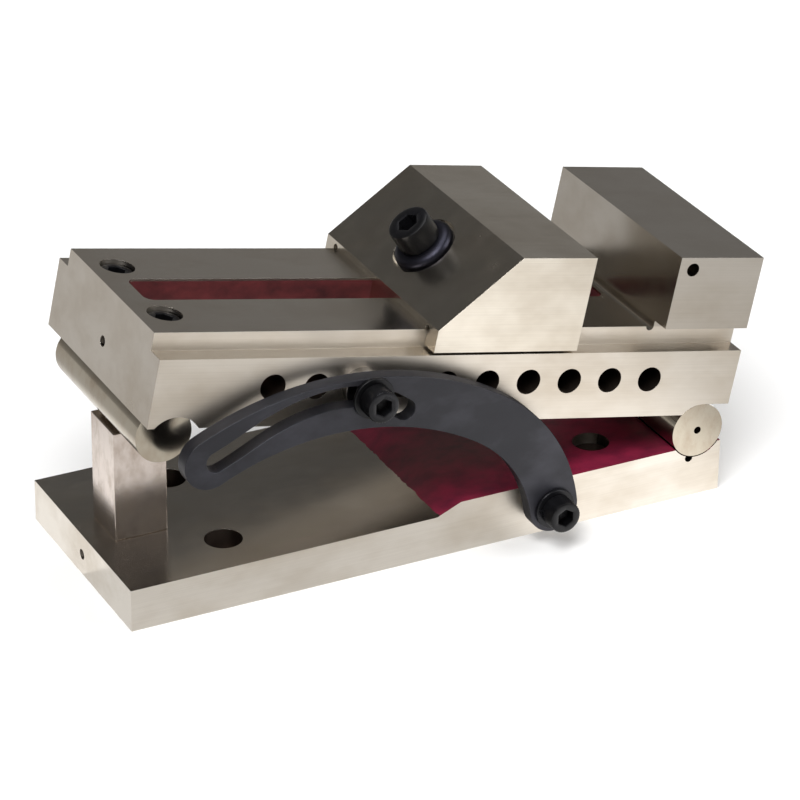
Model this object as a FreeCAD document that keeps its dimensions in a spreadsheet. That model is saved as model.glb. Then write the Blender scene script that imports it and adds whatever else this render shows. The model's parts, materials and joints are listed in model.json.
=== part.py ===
"""Sine vise: a precision vise body that tilts on a hinge roller and rests on a setting block.

Frame: the origin is the centre of the base plate's underside, +X runs along the vise towards
the hinge, +Y points to the far side and +Z is up. Lengths are in millimetres.

The vise body and all that it carries are drawn in the vise frame, whose origin is the hinge
axis: u runs along the bed towards the fixed jaw, w rises square to the bed. That frame is then
turned by the sine angle, whose sine is the block height over the roller centre distance.
"""
import FreeCAD, Part
import math
import os

import Sketcher
from FreeCAD import Placement, Rotation, Vector

DRIVING_DIMENSIONS = (
    ("width", 73.0, "width across base plate, vise body and jaws"),
    ("base_length", 197.0, "length of the base plate"),
    ("base_thick", 13.5, "thickness of the base plate's ground low part"),
    ("base_rise", 3.4, "height of the painted high part above the low part"),
    ("ramp_toe", 99.0, "left end of the base to the foot of the ramp"),
    ("ramp_run", 8.0, "length of the ramp"),
    ("hinge_margin", 8.5, "hinge axis to the right end of the base"),
    ("roller_dia", 17.5, "diameter of both rollers"),
    ("roller_centres", 178.0, "distance between the two roller axes"),
    ("block_height", 35.6, "height of the setting block"),
    ("block_side", 16.6, "side of the setting block's square section"),
    ("block_shift", 1.6, "rest roller's axis to the middle of the block"),
    ("rest_gap", 0.03, "gap between the rest roller and the block"),
    ("cradle_gap", 0.35, "radial gap between the hinge roller and the base's groove"),
    ("seat_gap", 0.02, "radial gap of a part seated in its bore or groove"),
    ("run_gap", 0.05, "running gap of a part that turns or slides"),
    ("body_under", 5.2, "underside of the vise body above the roller axes"),
    ("bed_height", 32.2, "bed above the roller axes"),
    ("rail_height", 5.6, "height of the bed's rail above the side ledges"),
    ("jaw_neck", 1.8, "underside of the fixed jaw's overhang above the bed"),
    ("jaw_height", 25.0, "height of the jaws above the bed"),
    ("rail_inset", 6.2, "inset of the bed's rail from each side"),
    ("body_tail", 9.0, "hinge axis to the right end of the vise body"),
    ("body_nose", 9.2, "rest roller axis to the left end of the vise body"),
    ("fixed_jaw_length", 29.5, "thickness of the fixed jaw along the bed"),
    ("slot_width", 15.0, "width of the bed slot"),
    ("slot_nose", 7.7, "left end of the vise body to the bed slot"),
    ("slot_tail", 4.0, "bed slot to the fixed jaw's face"),
    ("slot_corner", 3.0, "corner radius of the bed slot"),
    ("slot_step", 2.5, "depth of the bed slot below the channel's roof"),
    ("channel_width", 27.0, "width of the channel under the bed"),
    ("channel_nose", 18.2, "left end of the vise body to the channel"),
    ("channel_tail", 15.0, "hinge axis to the channel"),
    ("bay_height", 21.6, "top of the nut's bay under the fixed jaw"),
    ("side_hole_dia", 8.0, "diameter of the cross holes"),
    ("side_hole_height", 17.5, "cross holes and channel roof above the roller axes"),
    ("side_hole_first", 149.8, "hinge axis to the first cross hole"),
    ("side_hole_pitch", 14.2, "spacing of the cross holes"),
    ("relief_radius", 1.3, "radius of the grinding reliefs"),
    ("jaw_gap", 29.7, "gap between the jaws"),
    ("movable_jaw_top", 25.3, "length of the movable jaw's top"),
    ("slant_angle", 44.0, "slope of the movable jaw's slanted face"),
    ("heel_rise", 2.2, "height of the movable jaw's heel above the bed"),
    ("skirt_gap", 0.8, "gap between the movable jaw's skirts and the ledge"),
    ("skirt_play", 0.1, "side gap between the skirts and the rail"),
    ("tongue_heel", 1.3, "heel of the movable jaw to its tongue"),
    ("tongue_front", 12.8, "movable jaw's face to its tongue"),
    ("keeper_gap", 0.4, "gap between the keeper and the channel's roof"),
    ("keeper_thick", 4.0, "thickness of the keeper"),
    ("keeper_length", 24.0, "length of the keeper"),
    ("keeper_play", 0.5, "side gap between the keeper and the channel"),
    ("nut_drop", 4.5, "nut axis below the cross holes when it is released"),
    ("nut_barrel_radius", 7.2, "radius of the nut's barrel"),
    ("nut_trunnion_radius", 3.9, "radius of the nut's trunnions"),
    ("washer_recess", 1.5, "depth of the seat in the slanted face"),
    ("washer_thick", 4.0, "thickness of the jaw screw's seat washer"),
    ("washer_radius", 9.5, "radius of the jaw screw's seat washer"),
    ("jaw_screw_length", 55.0, "length of the jaw screw under its head"),
    ("rest_roller_inset", 7.0, "inset of the rest roller's ends"),
    ("rest_screw_spacing", 34.0, "spacing of the rest roller's screws"),
    ("rest_screw_sink", 7.2, "depth of the rest roller screws' counterbores"),
    ("rest_screw_length", 26.0, "length of the rest roller's screws"),
    ("lug_width", 20.0, "width of the hinge lug"),
    ("lug_gap", 0.35, "gap round the hinge lug in the vise body's groove"),
    ("lug_floor", 6.0, "floor of the lug's pocket in the base"),
    ("lug_screw_spacing", 11.0, "spacing of the lug's screws"),
    ("lug_dowel_spacing", 10.0, "spacing of the lug's dowels"),
    ("lug_dowel_radius", 1.5, "radius of the lug's dowels"),
    ("lug_dowel_length", 10.0, "length of the lug's dowels"),
    ("lug_screw_length", 10.0, "length of the lug's screws"),
    ("hinge_pin_radius", 4.0, "radius of the hinge pin"),
    ("hinge_screw_margin", 4.5, "end of a hinge roller to its outer screw"),
    ("hinge_screw_pitch", 8.0, "spacing of a hinge roller's screws"),
    ("hinge_screw_length", 20.0, "length of the hinge rollers' screws"),
    ("hinge_thread_depth", 20.0, "depth of the threads for the hinge rollers' screws"),
    ("pin_end_gap", 6.0, "end of the hinge pin to the inner screw"),
    ("centre_hole_radius", 1.2, "radius of the centre holes in the hinge rollers"),
    ("centre_hole_depth", 3.0, "depth of the centre holes in the hinge rollers"),
    ("fixing_spacing_x", 123.8, "spacing of the base's fixing holes along the vise"),
    ("fixing_spacing_y", 40.6, "spacing of the base's fixing holes across the vise"),
    ("fixing_floor", 6.5, "floor of the fixing holes' counterbores"),
    ("fixing_bore", 3.3, "radius of the fixing holes"),
    ("fixing_sink", 5.75, "radius of the fixing holes' counterbores"),
    ("tap_small", 1.65, "radius of the threaded holes in the ends"),
    ("tap_stop", 2.1, "radius of the threaded hole in the fixed jaw"),
    ("stop_hole_back", 4.9, "fixed jaw's face to the threaded hole in its side"),
    ("stop_hole_drop", 3.9, "top of the fixed jaw to the threaded hole in its side"),
    ("end_hole_height", 16.1, "threaded hole in the vise body's end above the roller axes"),
    ("pivot_back", 54.2, "hinge axis to the arm's pivot"),
    ("pivot_height", 12.5, "arm's pivot above the underside of the base"),
    ("arm_width", 16.0, "width of the locking arm"),
    ("arm_thick", 5.0, "thickness of the locking arm"),
    ("arm_stand_off", 3.0, "spacer between the vise and the arm"),
    ("arm_play", 0.1, "side play of the arm on its pivot"),
    ("arm_slot_width", 6.5, "width of the arm's slot"),
    ("arm_slot_spare", 5.0, "length of the slot past the clamp screw at no tilt"),
    ("arm_slot_reach", 12.0, "length of the slot past the clamp screw at full tilt"),
    ("arm_slot_wall", 2.2, "end of the slot to the centre of the arm's round end"),
    ("arm_lift", 0.6, "shift of the arm's centre line above the slot's ends"),
    ("arm_elbow_back", 22.3, "arm's pivot to its elbow along the vise"),
    ("arm_elbow_height", 35.0, "arm's elbow above its pivot"),
    ("arm_ratio", 1.64, "turn of the arm for one degree of tilt"),
    ("tilt_limit", 45.0, "largest sine angle in degrees"),
    ("bush_flange_radius", 7.0, "radius of the pivot bush's flange"),
    ("bush_journal_radius", 5.0, "radius of the pivot bush's journal"),
    ("anchor_flange_radius", 6.0, "radius of the clamp anchor's flange"),
    ("anchor_length", 12.0, "length of the clamp anchor in its cross hole"),
    ("arm_washer_radius", 6.4, "radius of the arm's washers"),
    ("arm_washer_thick", 1.2, "thickness of the arm's washers"),
    ("pivot_thread_depth", 15.0, "depth of the pivot screw's thread in the base"),
    ("pivot_screw_length", 22.0, "length of the pivot screw"),
    ("clamp_screw_length", 20.0, "length of the clamp screw"),
    ("end_thread_depth", 10.0, "depth of the threaded hole in the base's end"),
    ("body_end_depth", 6.0, "depth of the threaded hole in the vise body's end"),
    ("stop_hole_depth", 12.0, "depth of the threaded hole in the fixed jaw's side"),
    ("keeper_screw_length", 12.0, "length of the keeper's screws"),
    ("keeper_thread_depth", 9.0, "depth of the threads for the keeper's screws"),
    ("nut_end_gap", 0.6, "end of the nut's barrel to the slot's side"),
    ("seat_play", 1.0, "radial gap of the seat washer in its seat"),
    ("jaw_bore_play", 0.5, "radial gap of the jaw screw in the movable jaw"),
    ("small_shank", 2.0, "shank radius of the small cap screws"),
    ("small_head", 3.5, "head radius of the small cap screws"),
    ("small_head_height", 4.0, "head height of the small cap screws"),
    ("small_socket", 3.0, "socket across flats of the small cap screws"),
    ("medium_shank", 3.0, "shank radius of the medium cap screws"),
    ("medium_head", 5.0, "head radius of the medium cap screws"),
    ("medium_head_height", 6.0, "head height of the medium cap screws"),
    ("medium_socket", 5.0, "socket across flats of the medium cap screws"),
    ("large_shank", 4.0, "shank radius of the large cap screw"),
    ("large_head", 6.5, "head radius of the large cap screw"),
    ("large_head_height", 8.0, "head height of the large cap screw"),
    ("large_socket", 6.0, "socket across flats of the large cap screw"),
    ("bore_play", 0.2, "radial gap of a screw in its clearance hole"),
    ("head_play", 0.3, "radial gap of a head in its counterbore"),
    ("head_chamfer", 0.5, "chamfer round a screw's head"),
)

# Cross holes: their number, and the one that holds the arm's clamp screw.
SIDE_HOLE_COUNT = 10
CLAMP_HOLE = 2

# Depth of a screw's socket as a share of its head, and how far a cutting tool passes a face.
SOCKET_DEPTH_SHARE = 0.55
OVERRUN = 1.0
SLOT_SAMPLES = 10

AXIS_TURNS = {
    "z": Rotation(),
    "y": Rotation(Vector(1, 0, 0), -90),
    "-y": Rotation(Vector(1, 0, 0), 90),
    "x": Rotation(Vector(0, 1, 0), 90),
}

os.makedirs("parts", exist_ok=True)
doc = FreeCAD.newDocument("sine_vise")
dims = doc.addObject("Spreadsheet::Sheet", "dims")
NODES = []


class Size:
    """A dimension that keeps its value together with the sheet formula behind it."""

    def __init__(self, value, formula=None):
        self.value = float(value)
        self.formula = formula if formula else repr(self.value)

    def __add__(self, other):
        other = as_size(other)
        return Size(self.value + other.value, "(%s + %s)" % (self.formula, other.formula))

    def __sub__(self, other):
        other = as_size(other)
        return Size(self.value - other.value, "(%s - %s)" % (self.formula, other.formula))

    def __mul__(self, other):
        other = as_size(other)
        return Size(self.value * other.value, "(%s * %s)" % (self.formula, other.formula))

    def __truediv__(self, other):
        other = as_size(other)
        return Size(self.value / other.value, "(%s / %s)" % (self.formula, other.formula))

    def __radd__(self, other):
        return as_size(other) + self

    def __rsub__(self, other):
        return as_size(other) - self

    def __rmul__(self, other):
        return as_size(other) * self

    def __rtruediv__(self, other):
        return as_size(other) / self

    def __neg__(self):
        return Size(-self.value, "(0 - %s)" % self.formula)

    def root(self):
        return Size(math.sqrt(self.value), "sqrt(%s)" % self.formula)

    def sine(self):
        return Size(math.sin(math.radians(self.value)), "sin(%s * 1 deg)" % self.formula)

    def cosine(self):
        return Size(math.cos(math.radians(self.value)), "cos(%s * 1 deg)" % self.formula)

    def arc_sine(self):
        return Size(math.degrees(math.asin(self.value)), "(asin(%s) / 1 deg)" % self.formula)


def as_size(number):
    """A plain number becomes a Size of its own."""
    return number if isinstance(number, Size) else Size(number)


SIZES = {}
for row, (alias, value, meaning) in enumerate(DRIVING_DIMENSIONS, start=1):
    dims.set("A%d" % row, meaning)
    dims.set("B%d" % row, str(value))
    dims.setAlias("B%d" % row, alias)
    SIZES[alias] = Size(value, "dims." + alias)
doc.recompute()


def dim(alias):
    """The driving dimension of that name."""
    return SIZES[alias]


def bind(thing, prop, size):
    """Bind one property of an object to the sheet."""
    thing.setExpression(prop, as_size(size).formula)


def place(thing, x, y, z, turn=None):
    """Put an object at a bound position, turned by a fixed rotation."""
    start = Vector(as_size(x).value, as_size(y).value, as_size(z).value)
    thing.Placement = Placement(start, turn if turn else Rotation())
    bind(thing, "Placement.Base.x", x)
    bind(thing, "Placement.Base.y", y)
    bind(thing, "Placement.Base.z", z)
    return thing


def box(name, x_range, y_range, z_range):
    """A box between two bound corners."""
    thing = doc.addObject("Part::Box", name)
    for prop, (low, high) in zip(("Length", "Width", "Height"), (x_range, y_range, z_range)):
        bind(thing, prop, as_size(high) - low)
    return place(thing, x_range[0], y_range[0], z_range[0])


def rod(name, radius, length, start, axis="z"):
    """A cylinder from a bound start point along an axis."""
    thing = doc.addObject("Part::Cylinder", name)
    bind(thing, "Radius", radius)
    bind(thing, "Height", length)
    return place(thing, *start, turn=AXIS_TURNS[axis])


def cone(name, low_radius, high_radius, height, start):
    """A cone frustum standing on a bound point."""
    thing = doc.addObject("Part::Cone", name)
    bind(thing, "Radius1", low_radius)
    bind(thing, "Radius2", high_radius)
    bind(thing, "Height", height)
    return place(thing, *start)


def fuse(name, things):
    """The union of several objects."""
    thing = doc.addObject("Part::MultiFuse", name)
    thing.Shapes = things
    return thing


def cut(name, base, tools):
    """An object less one or more tools."""
    thing = doc.addObject("Part::Cut", name)
    thing.Base = base
    thing.Tool = tools[0] if len(tools) == 1 else fuse(name + "_tools", tools)
    return thing


def group(name, things):
    """Separate solids in one node."""
    thing = doc.addObject("Part::Compound", name)
    thing.Links = things
    return thing


def prism(name, corners, half_width):
    """A sketched outline in the XZ plane, extruded to both sides of the mid-plane."""
    sketch = doc.addObject("Sketcher::SketchObject", name + "_outline")
    sketch.Placement = Placement(Vector(), Rotation(Vector(1, 0, 0), 90))
    points = [Vector(as_size(x).value, as_size(z).value, 0) for x, z in corners]
    for index, point in enumerate(points):
        following = points[(index + 1) % len(points)]
        sketch.addGeometry(Part.LineSegment(point, following), False)
    for index in range(len(points)):
        following = (index + 1) % len(points)
        sketch.addConstraint(Sketcher.Constraint("Coincident", index, 2, following, 1))
    for index, (x, z) in enumerate(corners):
        for kind, size in (("DistanceX", x), ("DistanceY", z)):
            value = as_size(size).value
            number = sketch.addConstraint(Sketcher.Constraint(kind, -1, 1, index, 1, value))
            sketch.setExpression("Constraints[%d]" % number, as_size(size).formula)
    thing = doc.addObject("Part::Extrusion", name)
    thing.Base = sketch
    thing.DirMode = "Custom"
    thing.Dir = Vector(0, 1, 0)
    thing.Solid = True
    bind(thing, "LengthFwd", half_width)
    bind(thing, "LengthRev", half_width)
    return thing


def rounded_slot(name, x_range, half_width, z_range, corner):
    """A slot along X with rounded corners, as a cutting tool."""
    left, right = x_range
    reach = half_width - corner
    pieces = [
        box(name + "_long", x_range, (-reach, reach), z_range),
        box(name + "_wide", (left + corner, right - corner), (-half_width, half_width), z_range),
    ]
    height = z_range[1] - z_range[0]
    for index, x in enumerate((left + corner, right - corner)):
        for side, y in enumerate((-reach, reach)):
            label = "%s_corner_%d%d" % (name, index, side)
            pieces.append(rod(label, corner, height, (x, y, z_range[0])))
    return fuse(name, pieces)


def cap_screw(name, kind, length, start, turn=None):
    """A socket cap screw: its seat is the start point and its head points along local +Z."""
    shank_radius = dim(kind + "_shank")
    head_radius = dim(kind + "_head")
    head_height = dim(kind + "_head_height")
    chamfer = dim("head_chamfer")
    straight = head_height - chamfer
    socket_depth = head_height * SOCKET_DEPTH_SHARE
    shank = rod(name + "_shank", shank_radius, length, (0, 0, -as_size(length)))
    head = rod(name + "_head", head_radius, straight, (0, 0, 0))
    crown = cone(name + "_crown", head_radius, head_radius - chamfer, chamfer, (0, 0, straight))
    solid = fuse(name + "_solid", [shank, head, crown])
    socket = doc.addObject("Part::Prism", name + "_socket")
    socket.Polygon = 6
    bind(socket, "Circumradius", dim(kind + "_socket") / math.sqrt(3.0))
    bind(socket, "Height", socket_depth + OVERRUN)
    place(socket, 0, 0, head_height - socket_depth)
    screw = cut(name, solid, [socket])
    return place(screw, *start, turn=turn)


def washer(name, radius, bore, thick, start, axis):
    """A flat washer whose back face is at the start point."""
    disc = rod(name + "_disc", radius, thick, (0, 0, 0))
    hole = rod(name + "_hole", bore, as_size(thick) + 2 * OVERRUN, (0, 0, -OVERRUN))
    return place(cut(name, disc, [hole]), *start, turn=AXIS_TURNS[axis])


def node(thing):
    """Take an object as one of the object's own pieces."""
    thing.Label = thing.Name
    NODES.append(thing)
    return thing


half_width = dim("width") / 2
half_length = dim("base_length") / 2
roller_radius = dim("roller_dia") / 2
hinge_x = half_length - dim("hinge_margin")
hinge_z = dim("base_thick") + roller_radius
high_top = dim("base_thick") + dim("base_rise")

sine = (dim("block_height") + dim("rest_gap")) / dim("roller_centres")
cosine = (Size(1) - sine * sine).root()
sine_angle = sine.arc_sine()

ledge_height = dim("bed_height") - dim("rail_height")
jaw_foot = dim("bed_height") + dim("jaw_neck")
jaw_top = dim("bed_height") + dim("jaw_height")
body_left = -(dim("roller_centres") + dim("body_nose"))
body_right = dim("body_tail")
jaw_face = body_right - dim("fixed_jaw_length")
movable_face = jaw_face - dim("jaw_gap")
slant_foot = dim("bed_height") + dim("heel_rise")
slant_top_u = movable_face - dim("movable_jaw_top")
slant_rise = jaw_top - slant_foot
heel = slant_top_u - slant_rise * dim("slant_angle").cosine() / dim("slant_angle").sine()
screw_face_u = (heel + slant_top_u) / 2
screw_face_w = (slant_foot + jaw_top) / 2
nut_w = dim("side_hole_height") - dim("nut_drop")
nut_reach = (screw_face_w - nut_w) / dim("slant_angle").cosine()
nut_u = screw_face_u + nut_reach * dim("slant_angle").sine()
clamp_u = dim("side_hole_pitch") * CLAMP_HOLE - dim("side_hole_first")
clamp_w = dim("side_hole_height")


def to_frame(u, w):
    """A point of the vise frame in the part's own frame, as x and z."""
    u = as_size(u)
    w = as_size(w)
    return hinge_x + u * cosine + w * sine, hinge_z - u * sine + w * cosine


def tilt(thing, u=0.0, y=0.0, w=0.0, turn_back=None):
    """Put an object drawn in the vise frame at its sine angle."""
    x, z = to_frame(u, w)
    place(thing, x, y, z, Rotation(Vector(0, 1, 0), 10))
    angle = sine_angle if turn_back is None else sine_angle - turn_back
    bind(thing, "Placement.Rotation.Angle", angle)
    return thing


# Base plate
base_profile = prism("base_profile", (
    (-half_length, 0),
    (half_length, 0),
    (half_length, high_top),
    (dim("ramp_toe") + dim("ramp_run") - half_length, high_top),
    (dim("ramp_toe") - half_length, dim("base_thick")),
    (-half_length, dim("base_thick")),
), half_width)
lug_half = roller_radius - dim("lug_gap")
lug_pocket_half = dim("lug_width") / 2 + dim("run_gap")
base_cuts = [
    rod("hinge_groove", roller_radius + dim("cradle_gap"), dim("width") + 2 * OVERRUN,
        (hinge_x, -half_width - OVERRUN, hinge_z), "y"),
    rod("hinge_groove_relief", dim("relief_radius"), dim("width") + 2 * OVERRUN,
        (hinge_x - dim("relief_radius") * 2, -half_width - OVERRUN,
         dim("base_thick") - dim("cradle_gap")), "y"),
    box("lug_pocket", (hinge_x - lug_half - dim("run_gap"), half_length + OVERRUN),
        (-lug_pocket_half, lug_pocket_half), (dim("lug_floor"), high_top + OVERRUN)),
    rod("base_end_hole", dim("tap_small"), dim("end_thread_depth") + OVERRUN,
        (-half_length - OVERRUN, 0, dim("base_thick") / 2), "x"),
    rod("pivot_screw_hole", dim("medium_shank") + dim("seat_gap"), dim("pivot_thread_depth") + OVERRUN,
        (hinge_x - dim("pivot_back"), -half_width - OVERRUN, dim("pivot_height")), "y"),
]
for column, x in enumerate((-dim("fixing_spacing_x") / 2, dim("fixing_spacing_x") / 2)):
    for line, y in enumerate((-dim("fixing_spacing_y") / 2, dim("fixing_spacing_y") / 2)):
        label = "fixing_%d%d" % (column, line)
        base_cuts.append(rod(label + "_bore", dim("fixing_bore"), high_top, (x, y, 0)))
        base_cuts.append(rod(label + "_sink", dim("fixing_sink"), high_top,
                             (x, y, dim("fixing_floor"))))
lug_screw_seat = dim("small_head_height") + dim("bore_play")
for line, y in enumerate((-dim("lug_screw_spacing") / 2, dim("lug_screw_spacing") / 2)):
    label = "lug_screw_%d" % line
    base_cuts.append(rod(label + "_sink", dim("small_head") + dim("bore_play"), lug_screw_seat,
                         (hinge_x, y, 0)))
    base_cuts.append(rod(label + "_bore", dim("small_shank") + dim("bore_play"), dim("lug_floor") + OVERRUN,
                         (hinge_x, y, 0)))
dowel_length = dim("lug_dowel_length")
dowel_low = dim("lug_floor") - dowel_length / 2
dowel_places = (hinge_x - dim("lug_dowel_spacing") / 2, hinge_x + dim("lug_dowel_spacing") / 2)
for line, x in enumerate(dowel_places):
    base_cuts.append(rod("lug_dowel_hole_%d" % line, dim("lug_dowel_radius") + dim("seat_gap"),
                         dowel_length, (x, 0, dowel_low)))
node(cut("base_plate", base_profile, base_cuts))

# Hinge lug, its screws and dowels
lug_cuts = [
    rod("lug_bore", dim("hinge_pin_radius") + dim("run_gap"), dim("lug_width") + 2 * OVERRUN,
        (hinge_x, -dim("lug_width") / 2 - OVERRUN, hinge_z), "y"),
]
lug_screws = []
for line, y in enumerate((-dim("lug_screw_spacing") / 2, dim("lug_screw_spacing") / 2)):
    lug_cuts.append(rod("lug_thread_%d" % line, dim("small_shank") + dim("seat_gap"), dim("lug_screw_length"),
                        (hinge_x, y, dim("lug_floor") - dim("bore_play"))))
    lug_screws.append(cap_screw("lug_screw_solid_%d" % line, "small", dim("lug_screw_length"),
                                (hinge_x, y, lug_screw_seat), Rotation(Vector(1, 0, 0), 180)))
lug_dowels = []
for line, x in enumerate(dowel_places):
    lug_cuts.append(rod("lug_dowel_bore_%d" % line, dim("lug_dowel_radius") + dim("seat_gap"),
                        dowel_length / 2 + dim("bore_play"), (x, 0, dim("lug_floor") - dim("bore_play") / 2)))
    lug_dowels.append(rod("lug_dowel_%d" % line, dim("lug_dowel_radius"), dowel_length - dim("bore_play"),
                          (x, 0, dowel_low + dim("bore_play") / 2)))
lug_half_width = dim("lug_width") / 2
lug_body = fuse("lug_body", [
    box("lug_foot", (hinge_x - lug_half, hinge_x + lug_half), (-lug_half_width, lug_half_width),
        (dim("lug_floor"), hinge_z)),
    rod("lug_eye", lug_half, dim("lug_width"), (hinge_x, -lug_half_width, hinge_z), "y"),
])
node(cut("hinge_lug", lug_body, lug_cuts))
node(group("hinge_lug_screws", lug_screws))
node(group("hinge_lug_dowels", lug_dowels))

# Setting block
block_half = dim("block_side") / 2
block_left = to_frame(-dim("roller_centres"), 0)[0] + dim("block_shift") - block_half
node(box("setting_block", (block_left, block_left + dim("block_side")), (-block_half, block_half),
         (dim("base_thick"), dim("base_thick") + dim("block_height"))))

# Vise body with the fixed jaw
rail_half = half_width - dim("rail_inset")
slot_half = dim("slot_width") / 2
channel_half = dim("channel_width") / 2
seat_radius = roller_radius + dim("seat_gap")
body_blank = fuse("body_blank", [
    box("body_block", (body_left, body_right), (-half_width, half_width),
        (dim("body_under"), ledge_height)),
    box("body_rail", (body_left, body_right), (-rail_half, rail_half),
        (ledge_height, dim("bed_height"))),
    box("fixed_jaw_neck", (jaw_face, body_right), (-rail_half, rail_half),
        (dim("bed_height"), jaw_foot)),
    box("fixed_jaw_block", (jaw_face, body_right), (-half_width, half_width),
        (jaw_foot, jaw_top)),
])
cross_start = -half_width - OVERRUN
cross_length = dim("width") + 2 * OVERRUN
body_cuts = [
    rod("hinge_roller_seat", seat_radius, cross_length, (0, cross_start, 0), "y"),
    box("hinge_seat_step", (0, body_right + OVERRUN), (-half_width - OVERRUN, half_width + OVERRUN),
        (dim("body_under") - OVERRUN, seat_radius)),
    rod("rest_roller_seat", seat_radius, cross_length, (-dim("roller_centres"), cross_start, 0), "y"),
    rounded_slot("bed_slot", (body_left + dim("slot_nose"), jaw_face - dim("slot_tail")), slot_half,
                 (dim("side_hole_height") - dim("slot_step"), dim("bed_height") + OVERRUN),
                 dim("slot_corner")),
    box("channel", (body_left + dim("channel_nose"), -dim("channel_tail")),
        (-channel_half, channel_half), (dim("body_under") - OVERRUN, dim("side_hole_height"))),
    box("nut_bay", (jaw_face - dim("slot_tail") - dim("slot_corner"), -dim("channel_tail")),
        (-slot_half, slot_half), (dim("body_under") - OVERRUN, dim("bay_height"))),
    rod("jaw_foot_relief", dim("relief_radius"), cross_length,
        (jaw_face - dim("relief_radius"), cross_start, dim("bed_height")), "y"),
    rod("body_end_hole", dim("tap_small"), dim("body_end_depth") + OVERRUN,
        (body_left - OVERRUN, 0, dim("end_hole_height")), "x"),
    rod("stop_hole", dim("tap_stop"), dim("stop_hole_depth") + OVERRUN,
        (jaw_face + dim("stop_hole_back"), cross_start, jaw_top - dim("stop_hole_drop")), "y"),
]
for index in range(SIDE_HOLE_COUNT):
    u = dim("side_hole_pitch") * index - dim("side_hole_first")
    body_cuts.append(rod("cross_hole_%d" % index, dim("side_hole_dia") / 2, cross_length,
                         (u, cross_start, dim("side_hole_height"))))
    body_cuts[-1].Placement.Rotation = AXIS_TURNS["y"]
rest_screw_seat = dim("bed_height") - dim("rest_screw_sink")
rest_screw_places = (-dim("rest_screw_spacing") / 2, dim("rest_screw_spacing") / 2)
for line, y in enumerate(rest_screw_places):
    label = "rest_screw_%d" % line
    body_cuts.append(rod(label + "_sink", dim("medium_head") + dim("head_play"),
                         dim("rest_screw_sink") + OVERRUN, (-dim("roller_centres"), y, rest_screw_seat)))
    body_cuts.append(rod(label + "_bore", dim("medium_shank") + dim("bore_play"), dim("bed_height"),
                         (-dim("roller_centres"), y, 0)))
hinge_screw_outer = half_width - dim("hinge_screw_margin")
hinge_screw_inner = hinge_screw_outer - dim("hinge_screw_pitch")
hinge_screw_places = (-hinge_screw_outer, -hinge_screw_inner, hinge_screw_inner, hinge_screw_outer)
for line, y in enumerate(hinge_screw_places):
    body_cuts.append(rod("hinge_thread_%d" % line, dim("small_shank") + dim("seat_gap"),
                         dim("hinge_thread_depth"), (0, y, 0)))
node(tilt(cut("vise_body", body_blank, body_cuts)))

# Rest roller and its screws
rest_half = half_width - dim("rest_roller_inset")
rest_screw_depth = dim("rest_screw_length") - rest_screw_seat + OVERRUN
rest_cuts = []
rest_screws = []
for line, y in enumerate(rest_screw_places):
    rest_cuts.append(rod("rest_thread_%d" % line, dim("medium_shank") + dim("seat_gap"),
                         roller_radius + rest_screw_depth, (-dim("roller_centres"), y, -rest_screw_depth)))
    rest_screws.append(cap_screw("rest_screw_solid_%d" % line, "medium", dim("rest_screw_length"),
                                 (-dim("roller_centres"), y, rest_screw_seat)))
rest_bar = rod("rest_roller_bar", roller_radius, rest_half * 2, (-dim("roller_centres"), -rest_half, 0), "y")
node(tilt(cut("rest_roller", rest_bar, rest_cuts)))
node(tilt(group("rest_roller_screws", rest_screws)))

# Hinge rollers, one each side of the lug, with their pin and screws
hinge_screw_seat = dim("small_head_height") + dim("bore_play") - roller_radius
hinge_screws = []
inner_face = dim("lug_width") / 2 + dim("lug_gap")
pin_half = hinge_screw_inner - dim("pin_end_gap")
for side, name in ((-1, "hinge_roller_front"), (1, "hinge_roller_rear")):
    start = -half_width if side < 0 else inner_face
    outer = -half_width - OVERRUN if side < 0 else half_width - dim("centre_hole_depth")
    pin_start = -pin_half if side < 0 else inner_face - OVERRUN
    bar = rod(name + "_bar", roller_radius, half_width - inner_face, (0, start, 0), "y")
    cuts = [
        rod(name + "_pin_bore", dim("hinge_pin_radius") + dim("seat_gap") / 2,
            pin_half - inner_face + OVERRUN, (0, pin_start, 0), "y"),
        rod(name + "_centre", dim("centre_hole_radius"), dim("centre_hole_depth") + OVERRUN,
            (0, outer, 0), "y"),
    ]
    for line, y in enumerate(hinge_screw_places):
        if (y.value > 0) != (side > 0):
            continue
        cuts.append(rod("%s_sink_%d" % (name, line), dim("small_head") + dim("bore_play"),
                        roller_radius + hinge_screw_seat, (0, y, -roller_radius)))
        cuts.append(rod("%s_bore_%d" % (name, line), dim("small_shank") + dim("seat_gap"),
                        dim("roller_dia"), (0, y, -roller_radius)))
        hinge_screws.append(cap_screw("hinge_screw_%d" % line, "small", dim("hinge_screw_length"),
                                      (0, y, hinge_screw_seat), Rotation(Vector(1, 0, 0), 180)))
    node(tilt(cut(name, bar, cuts)))
hinge_pin_bar = rod("hinge_pin_bar", dim("hinge_pin_radius"), pin_half * 2, (0, -pin_half, 0), "y")
node(tilt(group("hinge_pin", [hinge_pin_bar])))
node(tilt(group("hinge_roller_screws", hinge_screws)))

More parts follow.
